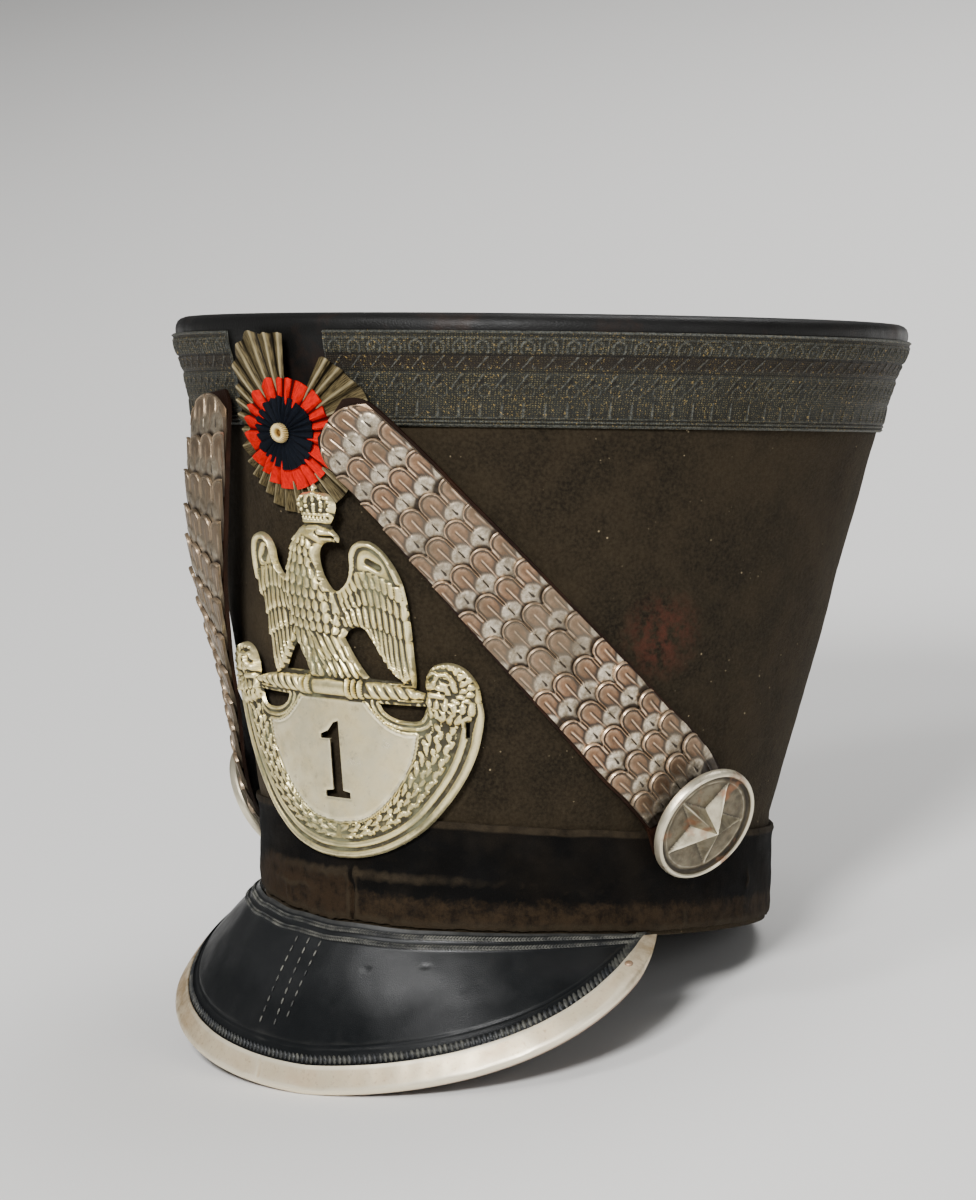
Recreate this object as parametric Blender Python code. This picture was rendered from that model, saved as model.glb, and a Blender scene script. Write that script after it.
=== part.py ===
"""Officer's shako of the early 1800s: felt body, leather top and peak, lace, plate, cockade and scales.

Sizes are in millimetres in the hat's own frame: Z up the body, the front at -Y, the wearer's left at +X,
the origin at the centre of the rim. MM turns them into Blender's metres. A "turn" is an angle round the
body, 0 at the front and +90 at the wearer's left; "out" is a distance outwards, level, from the body's
outline. The last step leans the finished hat back until it rests on its peak and on the back of its rim.
"""
import math

import bmesh
import bpy
from mathutils import Vector
from mathutils.geometry import delaunay_2d_cdt

MM = 0.001
GAP = 0.3                    # clearance between pieces that touch

# Body: an oval at the rim, a circle at the top, whose centre lies further back
RIM_HALF_LENGTH = 93.0
RIM_HALF_WIDTH = 82.0
TOP_RADIUS = 124.0
TOP_SHIFT = 10.0
BODY_HEIGHT = 197.0          # rim to the upper edge of the lace
BAND_HEIGHT = 36.0           # the body is upright this far, then widens
BAND_FLARE = 1.0
AROUND = 48                  # stations round the body

FELT_THICKNESS = 2.0
FELT_OUT = -1.0              # felt surface under the outline
FELT_SWELL = 0.6             # the felt bulges this much halfway up
LACE_BOTTOM = 166.4
LACE_GAP_TURNS = (-18.5, 3.0)    # the lace is open behind the cockade

# Lower band: its upper edge runs a little higher towards the wearer's right front
BAND_TOP = 37.2
BAND_TOP_RISE = 5.0
BAND_TOP_HIGH_TURN = -53.0
BAND_BOTTOM = 1.0
BAND_FOLD_TURN = 20.0
BAND_FOLD_HALF_SPAN = 24.0
BAND_FOLD = 1.2

# Peak: height of its joint with the band, by turn
JOINT_ROWS = (               # turn, height
    (-110, 1.0), (-90, 4.0), (-76, 9.0), (-60, 12.0), (-45, 11.0), (-30, 8.5), (-15, 6.0),
    (0, 4.0), (20, 2.5), (45, 2.0), (76, 1.0), (110, 1.0))
VISOR_HALF_TURN = 73.5
VISOR_DEPTH = 54.0           # rim to edge at the front, along the leather
VISOR_SLOPE_FRONT = 68.5     # degrees below level
VISOR_SLOPE_END = 19.0
VISOR_NARROWING = (1.38, 0.24)   # the depth falls as (1 - u**a)**b towards the ends
VISOR_FORWARD = 0.59         # how far the side stretches turn forwards
VISOR_CROWN = 2.6            # rise of the leather between joint and edge
VISOR_THICKNESS = 1.8
VISOR_ROOT_THICKNESS = 1.6
VISOR_END = 0.97             # share of the half turn where the leather ends
VISOR_STEPS = 26
TRIM_END = 0.987
TRIM_WIDTH = 9.0
TRIM_UNDER_WIDTH = 6.0
TRIM_WALL = 0.6
TRIM_FOLD = 1.32             # width of its folded edge
VISOR_INSET = 1.71           # the leather ends this far inside the metal's edge

# Front plate, seen from the front: x across, z up the body
PLATE_LEAN = 0.052           # the plate hangs lower on the wearer's left by this slope
PLATE_OUT = 1.2              # back of the plate over the band
PLATE_OUT_TOP = 4.9          # and at the crown, in front of the cockade
PLATE_SHEET = 1.0
PLATE_SPACING = 5.8          # between the points of its relief

COCKADE_CENTRE = (-7.5, 163.8)
COCKADE_OUT = 4.2
COCKADE_SLOPES = (0.027, 0.05, 0.12)   # across, above and below its centre: it hangs a little forward
COCKADE_HUB = 12.3           # radius of the pad that holds it off the felt
COCKADE_HUB_OUT = -0.55      # back of that pad
COCKADE_PLEATS = 20

SCALE_THICKNESS = 0.8
SCALE_GAP = 0.5              # between a tongue and the plate under it
SCALE_BULGE = 0.5
SCALE_OVERLAP = 5.6
SCALE_LOBE_PITCH = 8.7
STRAP_THICKNESS = 1.2
STRAP_MARGIN = 1.4           # leather that shows beside the scales
STRAP_WIDTHS = (33.0, 25.0)  # scales' width at the boss and at the free end
STRAP_RIGHT_ROWS = (         # turn, height, out of the strap's inner side; boss first
    (79.5, 35.0, 2.9), (75.6, 46.3, 2.4), (68.0, 57.6, 1.5), (59.2, 69.6, 0.8), (40.5, 100.2, 0.6),
    (24.8, 130.0, 2.6), (17.3, 146.3, 5.4), (10.8, 160.0, 7.6), (5.9, 168.8, 8.2))
STRAP_LEFT_ROWS = (
    (-79.5, 35.0, 2.9), (-66.0, 46.0, 2.7), (-53.0, 61.0, 1.8), (-42.5, 80.0, 2.0), (-34.0, 99.0, 5.8),
    (-28.5, 118.0, 8.8), (-24.5, 138.0, 9.6), (-22.8, 158.0, 7.6), (-23.2, 177.0, 2.4))
SCALES_RIGHT = 13
SCALES_LEFT = 12
SCALE_START = 11.5           # rear of the first scale, along the strap
SCALE_END_LENGTH = 20.0      # the plate at the free end
SCALE_END_ROUND = 0.8        # its corners, as a share of a half circle
SCALE_SIDE = 0.8             # least distance from a tongue's points to the plate's side

BOSS_RADIUS = 20.2
BOSS_TURN = 78.0
BOSS_HEIGHT = 38.0
BOSS_OUT = 10.8              # centre of its back
BOSS_DROOP = 26.0            # degrees it faces down
BOSS_RINGS = ((19.4, 2.9), (18.0, 3.0), (17.3, 1.6))     # radius, height of the rim and the field
BOSS_FIELD = 1.5
BOSS_STAR = (16.5, 6.4)      # radius of its points and of the hollows between them
BOSS_STAR_TURN = 14.0
BOSS_APEX = 8.0
BOSS_POST_RADIUS = 4.0
BOSS_SEAT = 6.0              # length along the strap where the post stands
BOSS_SEAT_GAP = 1.2          # the strap curves under the post, so its middle stays this far off
BOSS_SIDES = 24

FIRST_LEAN = 14.0            # degrees, first guess of how far the hat leans back
LEAN_ROUNDS = 6


# ---------------------------------------------------------------- numbers and curves

def mix(a, b, share):
    return a + (b - a) * share


def ease(share):
    share = min(max(share, 0.0), 1.0)
    return share * share * (3.0 - 2.0 * share)


def read_rows(rows, key):
    """Value of a two-column table at key, eased between its rows."""
    for (k0, v0), (k1, v1) in zip(rows, rows[1:]):
        if key <= k1:
            return mix(v0, v1, ease((key - k0) / (k1 - k0)))
    return rows[-1][1]


def smooth_run(points, spacing):
    """Catmull-Rom curve through points, sampled about every spacing."""
    points = [Vector(p) for p in points]
    ends = [points[0] * 2 - points[1]] + points + [points[-1] * 2 - points[-2]]
    run = []
    for a, b, c, d in zip(ends, ends[1:], ends[2:], ends[3:]):
        steps = max(1, round((c - b).length / spacing))
        for i in range(steps):
            t = i / steps
            square = (2 * a - 5 * b + 4 * c - d) * t ** 2
            cube = (3 * b - a - 3 * c + d) * t ** 3
            run.append(0.5 * (2 * b + (c - a) * t + square + cube))
    return run + [points[-1]]


def closed_outline(runs, spacing):
    """Joins runs that share their end points into one closed outline with a corner at each joint."""
    outline = []
    for run in runs:
        outline += smooth_run(run, spacing)[:-1] if len(run) > 2 else [Vector(run[0])]
    return outline


def mirrored(points):
    return [(-x, z) for x, z in reversed(points)]


# ---------------------------------------------------------------- the body's outline

def body_oval(z):
    """Half length, half width and shift back of the outline at height z."""
    if z <= BAND_HEIGHT:
        grow = BAND_FLARE * z / BAND_HEIGHT
        return RIM_HALF_LENGTH + grow, RIM_HALF_WIDTH + grow, 0.0
    share = (z - BAND_HEIGHT) / (BODY_HEIGHT - BAND_HEIGHT)
    return (mix(RIM_HALF_LENGTH + BAND_FLARE, TOP_RADIUS, share),
            mix(RIM_HALF_WIDTH + BAND_FLARE, TOP_RADIUS, share), TOP_SHIFT * share)


def body_point(turn, z, out=0.0):
    length, width, shift = body_oval(z)
    a = math.radians(turn)
    level = Vector((math.sin(a) / width, -math.cos(a) / length, 0.0)).normalized()
    return Vector((width * math.sin(a), shift - length * math.cos(a), z)) + level * out


def body_normal(turn, z):
    across = body_point(turn + 0.5, z) - body_point(turn - 0.5, z)
    upwards = body_point(turn, z + 9.0) - body_point(turn, z - 9.0)
    return across.cross(upwards).normalized()


def front_point(x, z, out):
    """Point of the body's outline that shows at x across, seen from the front."""
    return body_point(math.degrees(math.asin(x / body_oval(z)[1])), z, out)


# ---------------------------------------------------------------- meshes and objects

def material(name, colour, roughness, metallic=0.0):
    made = bpy.data.materials.new(name)
    made.use_nodes = True
    shader = made.node_tree.nodes["Principled BSDF"]
    shader.inputs["Base Color"].default_value = (*colour, 1.0)
    shader.inputs["Roughness"].default_value = roughness
    shader.inputs["Metallic"].default_value = metallic
    made.diffuse_color = (*colour, 1.0)
    return made


def add_object(name, mesh, finish, smooth_angle=35.0):
    """Turns a bmesh in millimetres into an object in metres."""
    bmesh.ops.recalc_face_normals(mesh, faces=mesh.faces)
    bmesh.ops.scale(mesh, vec=(MM, MM, MM), verts=mesh.verts)
    data = bpy.data.meshes.new(name)
    mesh.to_mesh(data)
    mesh.free()
    data.shade_smooth()
    data.set_sharp_from_angle(angle=math.radians(smooth_angle))
    data.materials.append(finish)
    made = bpy.data.objects.new(name, data)
    bpy.context.scene.collection.objects.link(made)
    return made


def next_ring(mesh, ring, points):
    """Extrudes a ring of vertices to the next ring of points."""
    edges = [mesh.edges.get((a, b)) for a, b in zip(ring, ring[1:] + ring[:1])]
    made = bmesh.ops.extrude_edge_only(mesh, edges=edges)["geom"]
    fresh = {v for v in made if isinstance(v, bmesh.types.BMVert)}
    lifted = []
    for vert, point in zip(ring, points):
        twin = next(e.other_vert(vert) for e in vert.link_edges if e.other_vert(vert) in fresh)
        twin.co = point
        lifted.append(twin)
    return lifted


def sweep(sections, closed=False):
    """A skin over rings of points; closed joins the last ring to the first, or else both get a face."""
    mesh = bmesh.new()
    first = [mesh.verts.new(p) for p in sections[0]]
    for a, b in zip(first, first[1:] + first[:1]):
        mesh.edges.new((a, b))
    ring = first
    for section in sections[1:]:
        ring = next_ring(mesh, ring, section)
    if closed:
        for a, b, c, d in zip(first, first[1:] + first[:1], ring[1:] + ring[:1], ring):
            mesh.faces.new((a, b, c, d))
    else:
        mesh.faces.new(first)
        mesh.faces.new(ring)
    return mesh


def inside(point, loop):
    hit = False
    for a, b in zip(loop, loop[1:] + loop[:1]):
        if (a.y > point.y) != (b.y > point.y):
            if point.x < a.x + (b.x - a.x) * (point.y - a.y) / (b.y - a.y):
                hit = not hit
    return hit


def relief_sheet(outline, holes, creases, marks, height, place, flat_back=False):
    """A pierced sheet whose face rises to height(x, y) at each of its points.

    creases are lines of points that the face's edges follow, marks are loose points, and
    place(x, y, h) puts a point at its height over the back.
    """
    loops = [outline] + holes
    points, edges = [], []
    for loop in loops:
        start = len(points)
        points += [Vector(p) for p in loop]
        edges += [(start + i, start + (i + 1) % len(loop)) for i in range(len(loop))]
    rim_count = len(points)
    lines, found = [], {}
    for crease in creases:
        for point in crease:
            if tuple(point) not in found:
                found[tuple(point)] = len(points)
                points.append(point)
        row = [found[tuple(point)] for point in crease]
        lines += zip(row, row[1:])
    points += marks
    verts, _, faces, _, _, _ = delaunay_2d_cdt(points, edges + lines, [], 0, 1e-4)
    if len(verts) != len(points):
        raise ValueError("points of the sheet fall on each other")
    mesh = bmesh.new()
    face_verts = [mesh.verts.new(place(v.x, v.y, height(v.x, v.y))) for v in verts]
    back_count = rim_count if flat_back else len(verts)
    back_verts = [mesh.verts.new(place(v.x, v.y, 0.0)) for v in verts[:back_count]]
    for face in faces:
        centre = sum((verts[i] for i in face), Vector((0, 0))) / 3
        if inside(centre, loops[0]) and not any(inside(centre, hole) for hole in loops[1:]):
            mesh.faces.new([face_verts[i] for i in face])
            if not flat_back:
                mesh.faces.new([back_verts[i] for i in reversed(face)])
    for a, b in edges:
        mesh.faces.new((face_verts[a], face_verts[b], back_verts[b], back_verts[a]))
    if flat_back:
        mesh.faces.new(back_verts)
    for vert in [v for v in mesh.verts if not v.link_faces]:
        mesh.verts.remove(vert)
    return mesh


# ---------------------------------------------------------------- felt, leather and lace

def felt_out(z):
    swell = FELT_SWELL * math.sin(math.pi * min(max((z - BAND_HEIGHT) / (LACE_BOTTOM - BAND_HEIGHT), 0), 1))
    return FELT_OUT + swell


def make_crown_shell(finish):
    """Felt body: upright at the band, widening above, set in where the leather top covers it."""
    outer = [(0.0, FELT_OUT)] + [(z, felt_out(z)) for z in (36.0, 80.0, 124.0, 166.2)]
    outer += [(168.3, -2.3), (186.0, -2.1), (196.2, -0.95)]
    skipped = (80.0, 166.2)      # heights that the inner side does without
    inner = [(z, out - FELT_THICKNESS) for z, out in reversed(outer) if z not in skipped]
    rows = outer + inner
    turns = [360.0 * i / AROUND for i in range(AROUND)]
    sections = [[body_point(turn, z, out) for z, out in rows] for turn in turns]
    return add_object("crown_shell", sweep(sections, closed=True), finish)


def make_crown_top(finish):
    """Leather top: a sunk flat disc, a rounded shoulder and an edge turned down outside the felt."""
    rows = (                 # height, out; from the disc over the shoulder and back under
        (199.0, -15.0), (202.0, -8.5), (203.0, -4.8), (202.3, -1.6), (200.2, 0.3), (196.0, 0.8),
        (186.0, -0.7), (168.5, -1.0), (168.5, -2.0), (186.0, -1.75), (196.6, -0.6), (196.6, -14.0))
    turns = [360.0 * i / AROUND for i in range(AROUND)]
    sections = [[body_point(turn, z, out) for turn in turns] for z, out in rows]
    return add_object("crown_top", sweep(sections), finish)


def make_top_galon(finish):
    """Lace: ribbed at both edges, drawn in at the middle, flaring over the shoulder."""
    outer = ((197.2, 2.1), (193.5, 2.3), (186.0, 1.0), (176.0, 0.4), (LACE_BOTTOM, 0.7))
    inner = ((LACE_BOTTOM, -0.6), (186.0, -0.35), (197.2, 1.25))
    start, stop = LACE_GAP_TURNS[1], LACE_GAP_TURNS[0] + 360.0
    whole = [360.0 * i / AROUND for i in range(AROUND)]
    turns = [start] + [turn for turn in whole if start + 1.0 < turn < stop - 1.0] + [stop]
    sections = [[body_point(turn, z, out) for z, out in outer + inner] for turn in turns]
    return add_object("top_galon", sweep(sections), finish)


def band_bottom(turn):
    return max(BAND_BOTTOM, read_rows(JOINT_ROWS, turn) + GAP)


def band_top(turn):
    return BAND_TOP + BAND_TOP_RISE * math.cos(math.radians(turn - BAND_TOP_HIGH_TURN))


def make_lower_band(finish):
    """Band round the rim: a lip at each edge and a fold at the wearer's left front."""
    rows = (                 # share of its height, out, share of the fold; up the inside, down the outside
        (0.0, -0.7, 0), (1.0, -0.7, 0), (1.0, 0.4, 0), (0.92, 0.8, 0), (0.56, 0.4, 0.2),
        (0.44, 0.5, 1), (0.30, 0.4, 0), (0.06, 0.8, 0), (0.0, 0.3, 0))
    sections = []
    for i in range(AROUND):
        turn = 360.0 * i / AROUND - 180.0
        low, high = band_bottom(turn), band_top(turn)
        fold = BAND_FOLD * ease(1.0 - abs(turn - BAND_FOLD_TURN) / BAND_FOLD_HALF_SPAN)
        sections.append([body_point(turn, mix(low, high, share), out + fold * folded)
                         for share, out, folded in rows])
    return add_object("lower_band", sweep(sections, closed=True), finish)


# ---------------------------------------------------------------- peak

def visor_edge(u):
    """Outer edge of the peak, u from -1 at one end to 1 at the other, and the depth there."""
    turn = VISOR_HALF_TURN * u
    power, root = VISOR_NARROWING
    depth = VISOR_DEPTH * max(1.0 - abs(u) ** power, 0.0) ** root
    slope = math.radians(mix(VISOR_SLOPE_FRONT, VISOR_SLOPE_END, u * u))
    start = body_point(turn, 0.0)
    level = body_point(turn, 0.0, 1.0) - start
    lean = VISOR_FORWARD * abs(u)
    level = (level * (1.0 - lean) + Vector((0.0, -1.0, 0.0)) * lean).normalized()
    return start + level * (depth * math.cos(slope)) - Vector((0, 0, 1)) * (depth * math.sin(slope) + 0.7)


def visor_frame(u):
    """Root, edge and outward normal of the peak's upper side at station u."""
    turn = VISOR_HALF_TURN * u
    root = body_point(turn, read_rows(JOINT_ROWS, turn), 0.9)
    edge = visor_edge(u)
    along = visor_edge(min(u + 0.01, 0.999)) - visor_edge(max(u - 0.01, -0.999))
    return root, edge, along.normalized().cross(edge - root).normalized() * -1.0


def visor_top(u, v, lift=0.0):
    """Upper side of the peak, v from 0 at the joint to 1 at the edge."""
    root, edge, normal = visor_frame(u)
    dome = VISOR_CROWN * ((edge - root).length / VISOR_DEPTH) ** 1.5
    return root.lerp(edge, v) + normal * (dome * 4.0 * v * (1.0 - v) + lift)


def visor_share(u, distance):
    """Share v of the line at u that lies distance inside the edge, measured square to the edge."""
    root, edge, _ = visor_frame(u)
    along = (visor_edge(min(u + 0.01, 0.999)) - visor_edge(max(u - 0.01, -0.999))).normalized()
    line = edge - root
    square = line.cross(along).length
    return max(0.0, 1.0 - distance / square)


def visor_stations():
    """Stations along the peak, closer together at its ends."""
    angles = [math.pi * (i / VISOR_STEPS - 0.5) for i in range(VISOR_STEPS + 1)]
    return [VISOR_END * math.sin(angle) for angle in angles]


def make_visor(finish):
    """Leather peak: thin where it is sewn to the body, a little domed."""
    shares = (0.0, 0.15, 0.4, 0.65, 0.85)
    sections = []
    for u in visor_stations():
        turn = VISOR_HALF_TURN * u
        rim = visor_share(u, VISOR_INSET)
        upper = [visor_top(u, share * rim) for share in shares] + [visor_top(u, rim)]
        root_under = body_point(turn, read_rows(JOINT_ROWS, turn) - VISOR_ROOT_THICKNESS, FELT_OUT + GAP)
        under = [visor_top(u, share * rim, -VISOR_THICKNESS) for share in shares[1:]]
        under.append(visor_top(u, rim, -VISOR_THICKNESS))
        if under[0].z > root_under.z - 0.5:
            under[0].z = root_under.z - 0.5
        sections.append(upper + list(reversed(under)) + [root_under])
    return add_object("visor", sweep(sections), finish)


def make_visor_trim(finish):
    """Metal channel folded over the peak's edge."""
    sections = []
    for u in [-TRIM_END] + visor_stations() + [TRIM_END]:
        inner_v = max(visor_share(u, TRIM_WIDTH), 0.1)
        under_v = max(visor_share(u, TRIM_UNDER_WIDTH), 0.25)
        wall_v = visor_share(u, TRIM_WALL)
        fold_v = visor_share(u, TRIM_FOLD)
        mid_v = mix(inner_v, wall_v, 0.5)
        lower = -VISOR_THICKNESS - GAP
        sections.append([
            visor_top(u, inner_v, GAP), visor_top(u, inner_v, GAP + TRIM_WALL),
            visor_top(u, mid_v, GAP + TRIM_WALL), visor_top(u, wall_v, GAP + TRIM_WALL),
            visor_top(u, 1.0, -0.4), visor_top(u, wall_v, lower),
            visor_top(u, fold_v, lower - TRIM_WALL), visor_top(u, under_v, lower - TRIM_WALL),
            visor_top(u, under_v, lower), visor_top(u, fold_v, lower), visor_top(u, wall_v, GAP),
            visor_top(u, mid_v, GAP)])
    return add_object("visor_trim", sweep(sections), finish)


# ---------------------------------------------------------------- front plate

SHIELD_SIDE = [(49.2, 80.5), (49.4, 76.0), (48.6, 71.0), (46.6, 63.5), (43.0, 55.0), (37.5, 46.0),
               (29.5, 36.5), (19.5, 29.6), (9.0, 26.0), (0.0, 25.1)]
LION_RIGHT = [(34.0, 81.8), (33.8, 85.8), (36.2, 90.6), (41.0, 92.4), (45.6, 90.8), (48.6, 86.0),
              (49.2, 80.5)]
PLATE_RUNS = (
    [(0.5, 147.6), (2.0, 145.6), (6.0, 144.6), (8.6, 141.4), (7.6, 137.8), (5.8, 134.6)],     # crown
    [(5.8, 134.6), (8.4, 132.3), (9.2, 129.2)],                                               # beak
    [(9.2, 129.2), (6.2, 129.2), (3.2, 127.9), (1.4, 124.5), (1.9, 118.5), (4.6, 113.6), (7.2, 113.4),
     (10.8, 116.4), (12.7, 121.0), (13.2, 126.4), (16.2, 129.8), (21.4, 129.7), (26.0, 125.2),
     (29.4, 117.4), (30.5, 107.0), (30.9, 95.0), (31.1, 86.5), (30.6, 82.8)],                 # left wing
    [(30.6, 82.8), (34.0, 81.8)],
    LION_RIGHT,
    SHIELD_SIDE,
    mirrored(SHIELD_SIDE),
    mirrored(LION_RIGHT),
    [(-34.0, 81.8), (-29.0, 83.2), (-24.0, 84.0)],
    [(-24.0, 84.0), (-24.6, 93.0), (-26.4, 102.7), (-28.3, 113.0), (-28.9, 122.0), (-27.6, 128.0),
     (-24.0, 130.2), (-20.0, 129.4), (-17.6, 125.8), (-17.2, 121.0), (-15.4, 117.3), (-13.0, 115.8)],
    [(-13.0, 115.8), (-11.8, 120.0), (-9.4, 125.8), (-6.4, 130.6), (-4.0, 134.2)],            # neck
    [(-4.0, 134.2), (-5.9, 137.6), (-6.9, 141.2), (-4.6, 144.4), (-1.2, 145.6), (0.5, 147.6)],
)
WING_GAP_RIGHT = ([(-18.8, 85.6), (-16.6, 89.6), (-14.0, 93.8), (-11.9, 97.0)],
                  [(-11.9, 97.0), (-9.8, 93.4), (-7.9, 89.2), (-7.0, 85.9)], [(-7.0, 85.9), (-18.8, 85.6)])
WING_GAP_LEFT = ([(7.4, 98.0), (9.6, 100.8), (13.0, 101.8), (15.4, 101.0)],
                 [(15.4, 101.0), (18.0, 97.0), (22.8, 88.6), (27.0, 84.8)], [(27.0, 84.8), (15.8, 85.2)],
                 [(15.8, 85.2), (12.8, 89.0), (10.2, 93.0), (7.4, 98.0)])
HALF_MOON = ([(18.4, 77.4), (19.8, 74.9), (23.0, 73.0), (27.0, 72.3), (31.4, 73.0), (33.6, 77.6)],
             [(33.6, 77.6), (18.4, 77.4)])
NUMERAL = [(2.2, 70.3), (0.8, 69.4), (-1.2, 66.6), (-4.2, 65.2), (-4.1, 64.3), (-0.6, 64.6), (-0.6, 47.2),
           (-3.9, 46.8), (-3.9, 45.0), (5.4, 45.0), (5.4, 46.8), (2.4, 47.2)]
FIELD_SIDE = [(13.0, 77.2), (15.8, 73.8), (20.4, 69.8), (25.2, 67.9), (29.6, 67.8)]
FIELD_FLANK = [(29.6, 67.8), (27.6, 59.6), (23.2, 51.2), (16.8, 43.6), (9.6, 38.7), (0.0, 37.0)]
RELIEF_ROWS = (              # raised form, from x, z to x, z, radius, height over the sheet
    ("head", -2.5, 130.0, 3.0, 130.8, 4.6, 3.0), ("beak", 4.0, 130.8, 8.0, 130.6, 2.6, 1.6),
    ("neck", -3.4, 126.0, -4.0, 118.0, 7.0, 3.4), ("breast", -4.2, 115.0, -3.2, 105.0, 10.5, 4.0),
    ("belly", -2.6, 102.0, 0.0, 97.0, 9.0, 3.2), ("tail", 1.6, 96.0, 8.4, 86.0, 7.0, 2.0),
    ("leg", -8.4, 99.0, -4.2, 87.0, 4.4, 2.8),
    ("wing_left_arm", 8.5, 112.5, 17.8, 125.4, 5.0, 2.2),
    ("wing_left_edge", 18.5, 126.0, 27.6, 114.0, 4.6, 1.9),
    ("wing_left_fan", 20.0, 113.0, 27.8, 92.0, 8.0, 1.3),
    ("wing_left_low", 12.0, 106.0, 18.0, 104.0, 5.0, 1.4),
    ("wing_right_arm", -14.0, 110.0, -21.0, 126.0, 5.0, 2.2),
    ("wing_right_edge", -24.4, 127.0, -26.0, 112.0, 4.0, 1.8),
    ("wing_right_fan", -21.4, 110.0, -20.8, 91.0, 6.0, 1.3),
    ("baton", -31.0, 81.4, 31.0, 81.4, 2.9, 2.3), ("crown_low", -2.4, 136.6, 4.6, 137.0, 4.2, 1.8),
    ("crown_high", -3.0, 141.0, 5.0, 141.2, 4.6, 2.4), ("orb", 0.6, 145.6, 0.6, 145.6, 1.8, 1.6),
    ("lion_left", 41.0, 86.0, 41.6, 80.0, 8.2, 3.6), ("lion_right", -41.0, 86.0, -41.6, 80.0, 8.2, 3.6),
)
RIM_RIDGES = ((1.3, 1.3), (3.0, 0.2), (4.4, 1.0), (5.8, 0.2))     # inset from the shield's edge, height
FIELD_RIDGES = ((0.0, 1.0), (1.6, 0.1))                           # outside and inside the field's edge
WREATH_LINE = [(40.2, 71.0), (38.0, 61.0), (33.0, 51.0), (25.0, 41.2), (14.0, 33.9), (2.6, 31.2)]
LEAF_COUNT = 8               # leaves on each side of the shield
LEAF_RISE = 1.5
MARK_ROOM = 1.3              # least room round a point of the relief
OUTLINE_SPACING = 3.6
HOLE_SPACING = 3.4


def capsule_rise(point, start, stop, radius, rise):
    """Height over the sheet of a rounded bar that runs from start to stop."""
    line = stop - start
    share = (point - start).dot(line) / max(line.length_squared, 1e-6)
    away = (point - start - line * min(max(share, 0.0), 1.0)).length / radius
    return rise * math.sqrt(1.0 - away * away) if away < 1.0 else 0.0


def inset_curve(points, inset):
    """Curve moved by inset to the right of the run of points."""
    moved = []
    for i, point in enumerate(points):
        ahead = points[min(i + 1, len(points) - 1)] - points[max(i - 1, 0)]
        moved.append(point + Vector((ahead.y, -ahead.x)).normalized() * inset)
    return moved


def make_front_plate(finish):
    """One stamped sheet: outline, pierced gaps and raised forms; it follows the body."""
    outline = closed_outline(PLATE_RUNS, OUTLINE_SPACING)
    holes = [closed_outline(runs, HOLE_SPACING) for runs in (WING_GAP_RIGHT, WING_GAP_LEFT, HALF_MOON)]
    holes.append([Vector((-p.x, p.y)) for p in reversed(holes[2])])
    holes.append([Vector(p) for p in NUMERAL])
    side = smooth_run(SHIELD_SIDE, 5.0)[1:]
    edge = side + [Vector((-p.x, p.y)) for p in reversed(side[:-1])]
    ridges = [(inset_curve(edge, inset), rise) for inset, rise in RIM_RIDGES]
    flank = smooth_run(FIELD_SIDE, 3.0) + smooth_run(FIELD_FLANK, 4.0)[1:-1]
    field = flank + [Vector((0.0, 37.0))] + [Vector((-p.x, p.y)) for p in reversed(flank)]
    ridges += [(inset_curve(field, -inset), rise) for inset, rise in FIELD_RIDGES]
    leaves = []
    middle = smooth_run(WREATH_LINE, 1.0)
    for i in range(LEAF_COUNT):
        spot = middle[round((len(middle) - 1) * i / (LEAF_COUNT - 1))]
        leaves += [spot, Vector((-spot.x, spot.y))]

    special, marks, creases = {}, [], []
    fixed = outline + sum(holes, [])
    for curve, rise in ridges:
        creases.append(curve)
        fixed += curve
        special.update({(round(p.x, 2), round(p.y, 2)): rise for p in curve})

    def mark(point, rise=None):
        near = min((point - other).length for other in marks + fixed)
        on_sheet = inside(point, outline) and not any(inside(point, hole) for hole in holes)
        if near > MARK_ROOM and on_sheet:
            marks.append(point)
            if rise is not None:
                special[(round(point.x, 2), round(point.y, 2))] = rise

    for point in leaves:
        mark(point, LEAF_RISE)
    for _, x0, z0, x1, z1, _, _ in RELIEF_ROWS:
        line = Vector((x1 - x0, z1 - z0))
        steps = max(1, round(line.length / PLATE_SPACING))
        for i in range(steps + 1):
            mark(Vector((x0, z0)) + line * (i / steps))
    across = [PLATE_SPACING * (i - 12) for i in range(25)]
    for row in range(26):
        for x in across:
            mark(Vector((x + PLATE_SPACING / 2 * (row % 2), 80.0 + PLATE_SPACING * 0.87 * row)))
    for row in range(1, 10):
        for x in across[::2]:
            spot = Vector((x, 80.0 - PLATE_SPACING * 1.4 * row))
            if inside(spot, field):
                mark(spot)

    def height(x, z):
        point = Vector((x, z))
        key = (round(x, 2), round(z, 2))
        if key in special:
            return PLATE_SHEET + special[key]
        rise = max(capsule_rise(point, Vector((x0, z0)), Vector((x1, z1)), radius, lift)
                   for _, x0, z0, x1, z1, radius, lift in RELIEF_ROWS)
        return PLATE_SHEET + rise

    def place(x, z, h):
        high = z - PLATE_LEAN * x
        out = mix(PLATE_OUT, PLATE_OUT_TOP, ease((z - 100.0) / 42.0))
        return front_point(x, high, out + h)

    sheet = relief_sheet(outline, holes, creases, marks, height, place)
    return add_object("front_plate", sheet, finish, 50.0)


# ---------------------------------------------------------------- cockade

SILVER_RADII = (             # clock angle from the top, outer radius
    (34.0, 29.5), (70.0, 33.0), (120.0, 27.0), (180.0, 26.5), (235.0, 25.0), (270.0, 24.0), (300.0, 27.0),
    (330.0, 31.5), (358.0, 31.0))
SILVER_START = 34.0          # torn away between this clock angle and the top


def cockade_point(radius, clock, lift):
    a = math.radians(clock)
    u, v = radius * math.sin(a), radius * math.cos(a)
    base = COCKADE_OUT + COCKADE_SLOPES[0] * u + COCKADE_SLOPES[1 if v > 0.0 else 2] * v
    return front_point(COCKADE_CENTRE[0] + u, COCKADE_CENTRE[1] + v, base + lift)


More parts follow.
